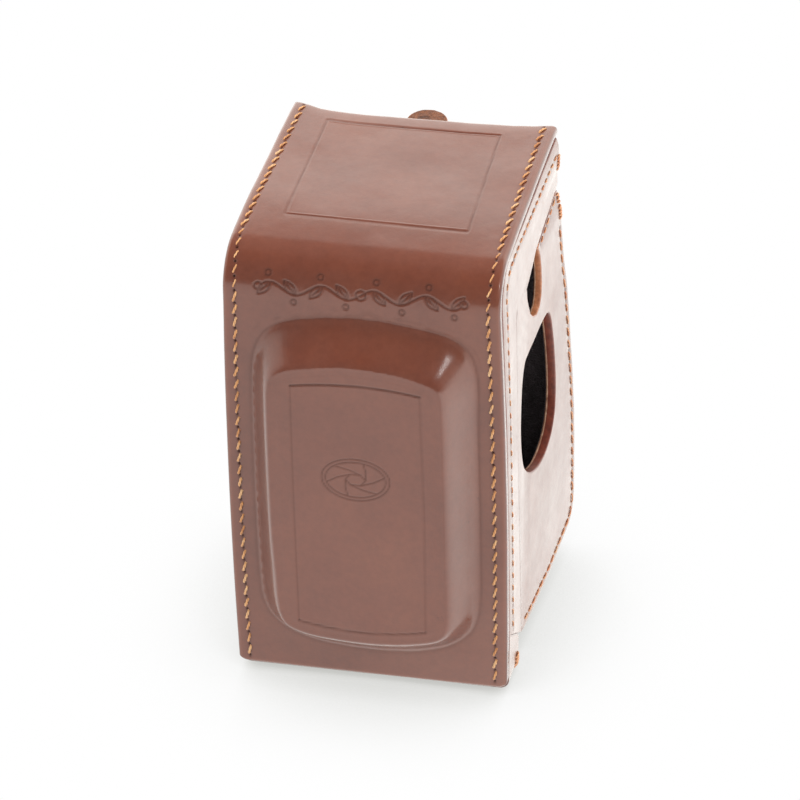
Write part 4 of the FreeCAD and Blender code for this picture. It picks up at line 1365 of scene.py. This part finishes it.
def front_stitches(sign):
    stitches = []
    for s in np.arange(2.6 + PITCH / 2, LENGTH - 3.0, PITCH):
        x = sign * seam_x(s)
        points, normals = front_outer(np.array([x, x]), np.array([s - .4, s + .4]))
        # length, radius, slant, height
        if FRONT_FLAT + 1 < s < TOP_START - 1:      # pulled in where the leather turns
            shape = (3.6, .26, -20, .0)
        elif s >= TOP_START - 1:
            shape = (4.6, .34, -25, .24)
        else:
            shape = (4.5, .37, -18, .22)
        stitches.append((points.mean(0), points[1] - points[0], normals.mean(0), *shape))
    return stitches


def row_stitches(place, rows, length, radius, slant, height):
    stitches = []
    for row in rows:
        for spot, heading in stations(row, .5):
            points, normals = place(*np.array([spot, spot + heading * .4]).T)
            stitches.append((points[0], points[1] - points[0], normals[0],
                             length, radius, slant, height))
    return stitches


def tack_stitches(sign, y, heights, length, radius=.3):
    """A bar tack near the wall's rear edge: stitches one above another, tilted by turns."""
    stitches = []
    for j, z in enumerate(heights):
        points, normals = wall_place(sign)(np.array([y]), np.array([z]))
        stitches.append((points[0] + np.array([sign * .02, .15 * (j % 2), 0]),
                         (0, 1, .3 * (-1) ** j), normals[0],
                         length, radius, 0, .22 + .08 * (j % 2)))
    return stitches


def sill_tack_stitches():
    stitches = []
    for sign in (-1, 1):
        for j, z in enumerate(np.arange(-1.7, 2.6, .8)):
            points, normals = sill_place(np.array([sign * sill_across(z)]),
                                         np.array([16.5 + .25 * (j % 2)]))
            stitches.append((points[0], (0, 1, .45), normals[0], 3.4, .42, 0, .4))
    return stitches


for side, sign in SIDES:
    flap = side + "_flap"
    place = wall_place(sign)
    slant = 8 * sign
    build_thread(side + "_front_thread", front_stitches(sign), "front_cover",
                 side + "_front_seam_thread", THREAD)
    build_thread(side + "_side_thread",
                 row_stitches(place, [SEAM_ROW], length=3.0, radius=.25, slant=slant,
                              height=.08),
                 "front_cover", side + "_side_seam_thread")
    build_thread(side + "_flap_thread",
                 row_stitches(place, [FLAP_ROW], length=4.4, radius=.28, slant=slant,
                              height=.12)
                 + row_stitches(place, [SLIT_ROW], length=3.8, radius=.25, slant=slant,
                                height=.08),
                 flap, side + "_wing_thread")
    flap_heights = np.concatenate([np.arange(126.0, 130.2, .62), [131.6, 133.0, 134.3]])
    build_thread(side + "_flap_tack_thread", tack_stitches(sign, 93.1, flap_heights, length=3.0),
                 flap, side + "_wing_tack")
    build_thread(side + "_strip_tack_thread",
                 tack_stitches(sign, 92.7, np.arange(144.8, 149.6, .66), length=2.8),
                 "front_cover", side + "_strip_tack")

build_thread("sill_tack_thread", sill_tack_stitches(), "front_cover", "sill_tacks")
build_thread("rear_thread",
             row_stitches(rear_place(0), REAR_ROWS, length=3.8, radius=.42, slant=15, height=.2),
             "rear_half", "rear_panel_thread", THREAD)

# ---------------------------------------------------------------- pieces kept from the CAD
for material, names in (
        (PLUSH, ("right_corner_stiffener", "left_corner_stiffener")),
        (NICKEL, ("camera_screw", "screw_circlip")),
        (BRASS, ("screw_retainer", "retainer_rivets", "closure_socket", "lid_stud"))):
    for name in names:
        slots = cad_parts[name].data.materials
        slots.clear()
        slots.append(material)


# ---------------------------------------------------------------- stage, metres
def floor_material():
    """Pale to most rays and glowing to glossy ones. Seen directly it is clear and only takes
    the contact shadow, so that whatever hangs below it stays in view."""
    material, graph, shader = new_material("pale_floor")
    drift = graph.node("TexNoise", {"Scale": 6.0, "Detail": 3.0}).outputs["Fac"]
    graph.fill(shader, {"Roughness": .9,
                        "Specular IOR Level": .0,
                        "Base Color": graph.ramp(drift, [(.3, grey(.375)), (.7, grey(.385))]),
                        "Emission Color": (1, .995, .985, 1),
                        "Emission Strength": .63})
    rays = graph.node("LightPath").outputs
    # the glow in reflections grows to the rear and to the right
    place = graph.separate(graph.where)
    slope = graph.math("ADD", place["Y"], graph.math("MULTIPLY", place["X"], 1.5))
    glow = graph.node("Emission", {"Color": (1, .985, .945, 1),
                                   "Strength": graph.remap(slope, (-.08, .14), (1.2, 1.85))})
    solid = graph.node("MixShader", {0: rays["Is Glossy Ray"], 1: shader.outputs[0],
                                     2: glow.outputs[0]})
    # contact shadow, a touch warmer than grey
    open_share = graph.node("AmbientOcclusion", {"Distance": .10}, samples=12).outputs["AO"]
    shadow = graph.math("SUBTRACT", .78, open_share, clamp=True)
    dim = graph.math("SUBTRACT", 1.0, graph.math("MULTIPLY", shadow, .66), clamp=True)
    warmth = graph.math("SUBTRACT", 1.0, graph.math("MULTIPLY", shadow, .06))
    tint = graph.node("CombineColor", {"Red": dim, "Green": dim,
                                       "Blue": graph.math("MULTIPLY", dim, warmth)})
    clear = graph.node("BsdfTransparent", {"Color": tint.outputs[0]})
    seen = graph.node("MixShader", {0: rays["Is Camera Ray"], 1: solid.outputs[0],
                                    2: clear.outputs[0]})
    graph.fill(graph.tree.nodes["Material Output"], {"Surface": seen.outputs[0]})
    return material


def build_floor(half=6.0, z=-.0002):
    material = floor_material()
    mesh = bpy.data.meshes.new("floor")
    mesh.from_pydata([(-half, -half, z), (half, -half, z), (half, half, z), (-half, half, z)],
                     [], [(0, 1, 2, 3)])
    mesh.materials.append(material)
    obj = bpy.data.objects.new("floor", mesh)
    bpy.context.scene.collection.objects.link(obj)


def build_world():
    """Even white light all round, with a darker room in front that only reflections see."""
    world = bpy.data.worlds.new("studio")
    bpy.context.scene.world = world
    world.use_nodes = True
    world.cycles.sampling_method = "NONE"
    graph = Graph(world.node_tree, "Generated")
    ray = graph.separate(graph.node("VectorMath", {0: graph.where},
                                    operation="NORMALIZE").outputs[0])
    azimuth = graph.math("ARCTAN2", ray["X"], graph.math("MULTIPLY", ray["Y"], -1.0))
    azimuth = graph.math("ADD", graph.math("MULTIPLY", azimuth, .5 / math.pi), .5)
    # degrees from straight ahead of the case, brightness
    around = [(-180, 1.0), (-100, .72), (-62, .52), (-46, .10), (-30, .03), (45, .03),
              (60, .14), (78, .5), (110, .72), (180, 1.0)]
    around = graph.ramp(azimuth, [((degrees + 180) / 360, grey(level))
                                  for degrees, level in around])
    # z of the direction, brightness
    upward = [(0, 1), (.565, 1), (.60, .80), (.665, .36), (.745, .14), (.87, .10), (1.0, .06)]
    upward = graph.ramp(ray["Z"], [(z, grey(level)) for z, level in upward])
    room = graph.math("MULTIPLY", graph.math("MULTIPLY", around, upward), 1.75)
    glossy = graph.node("LightPath").outputs["Is Glossy Ray"]
    strength = graph.math("ADD", graph.math("MULTIPLY", room, glossy),
                          graph.math("SUBTRACT", 1.0, glossy))
    graph.fill(world.node_tree.nodes["Background"], {
        "Strength": strength,
        "Color": graph.mix(glossy, (1, 1, 1, 1), (1, .98, .925, 1))})


def area_light(name, place, target, size, power, color=(1, 1, 1), glossy=False):
    light = bpy.data.lights.new(name, "AREA")
    light.shape = "RECTANGLE"
    light.size = light.size_y = size
    light.energy = power
    light.color = color
    obj = bpy.data.objects.new(name, light)
    obj.location = place
    toward = Vector(target) - Vector(place)
    obj.rotation_euler = toward.to_track_quat("-Z", "Y").to_euler()
    obj.visible_glossy = glossy
    bpy.context.scene.collection.objects.link(obj)


def build_camera():
    azimuth, elevation, roll = (math.radians(a) for a in (13.261, 33.109, -1.617))
    back = np.array([math.sin(azimuth) * math.cos(elevation),
                     -math.cos(azimuth) * math.cos(elevation), math.sin(elevation)])
    level = np.array([math.cos(azimuth), math.sin(azimuth), 0])
    upright = np.cross(back, level)
    pose = np.eye(4)
    pose[:3, 0] = level * math.cos(roll) + upright * math.sin(roll)
    pose[:3, 1] = -level * math.sin(roll) + upright * math.cos(roll)
    pose[:3, 2] = back
    pose[:3, 3] = to_row((389.19, -1600.52, 1181.93))
    camera = bpy.data.cameras.new("camera")
    camera.lens = 276.45
    camera.sensor_width = 36
    camera.clip_end = 50
    obj = bpy.data.objects.new("camera", camera)
    obj.matrix_world = Matrix(pose.tolist())
    bpy.context.scene.collection.objects.link(obj)
    bpy.context.scene.camera = obj


build_floor()
build_world()
area_light("softbox_top", place=(-.15, .32, 1.5), target=(0, 0, .1), size=1.1, power=13.5,
           color=(1, .95, .90))
area_light("kicker", place=(1.27, -.89, 1.45), target=(.03, -.05, .13), size=.24, power=3.4,
           glossy=True)
build_camera()
bpy.context.scene.view_settings.view_transform = "Standard"
bpy.context.scene.view_settings.look = "None"
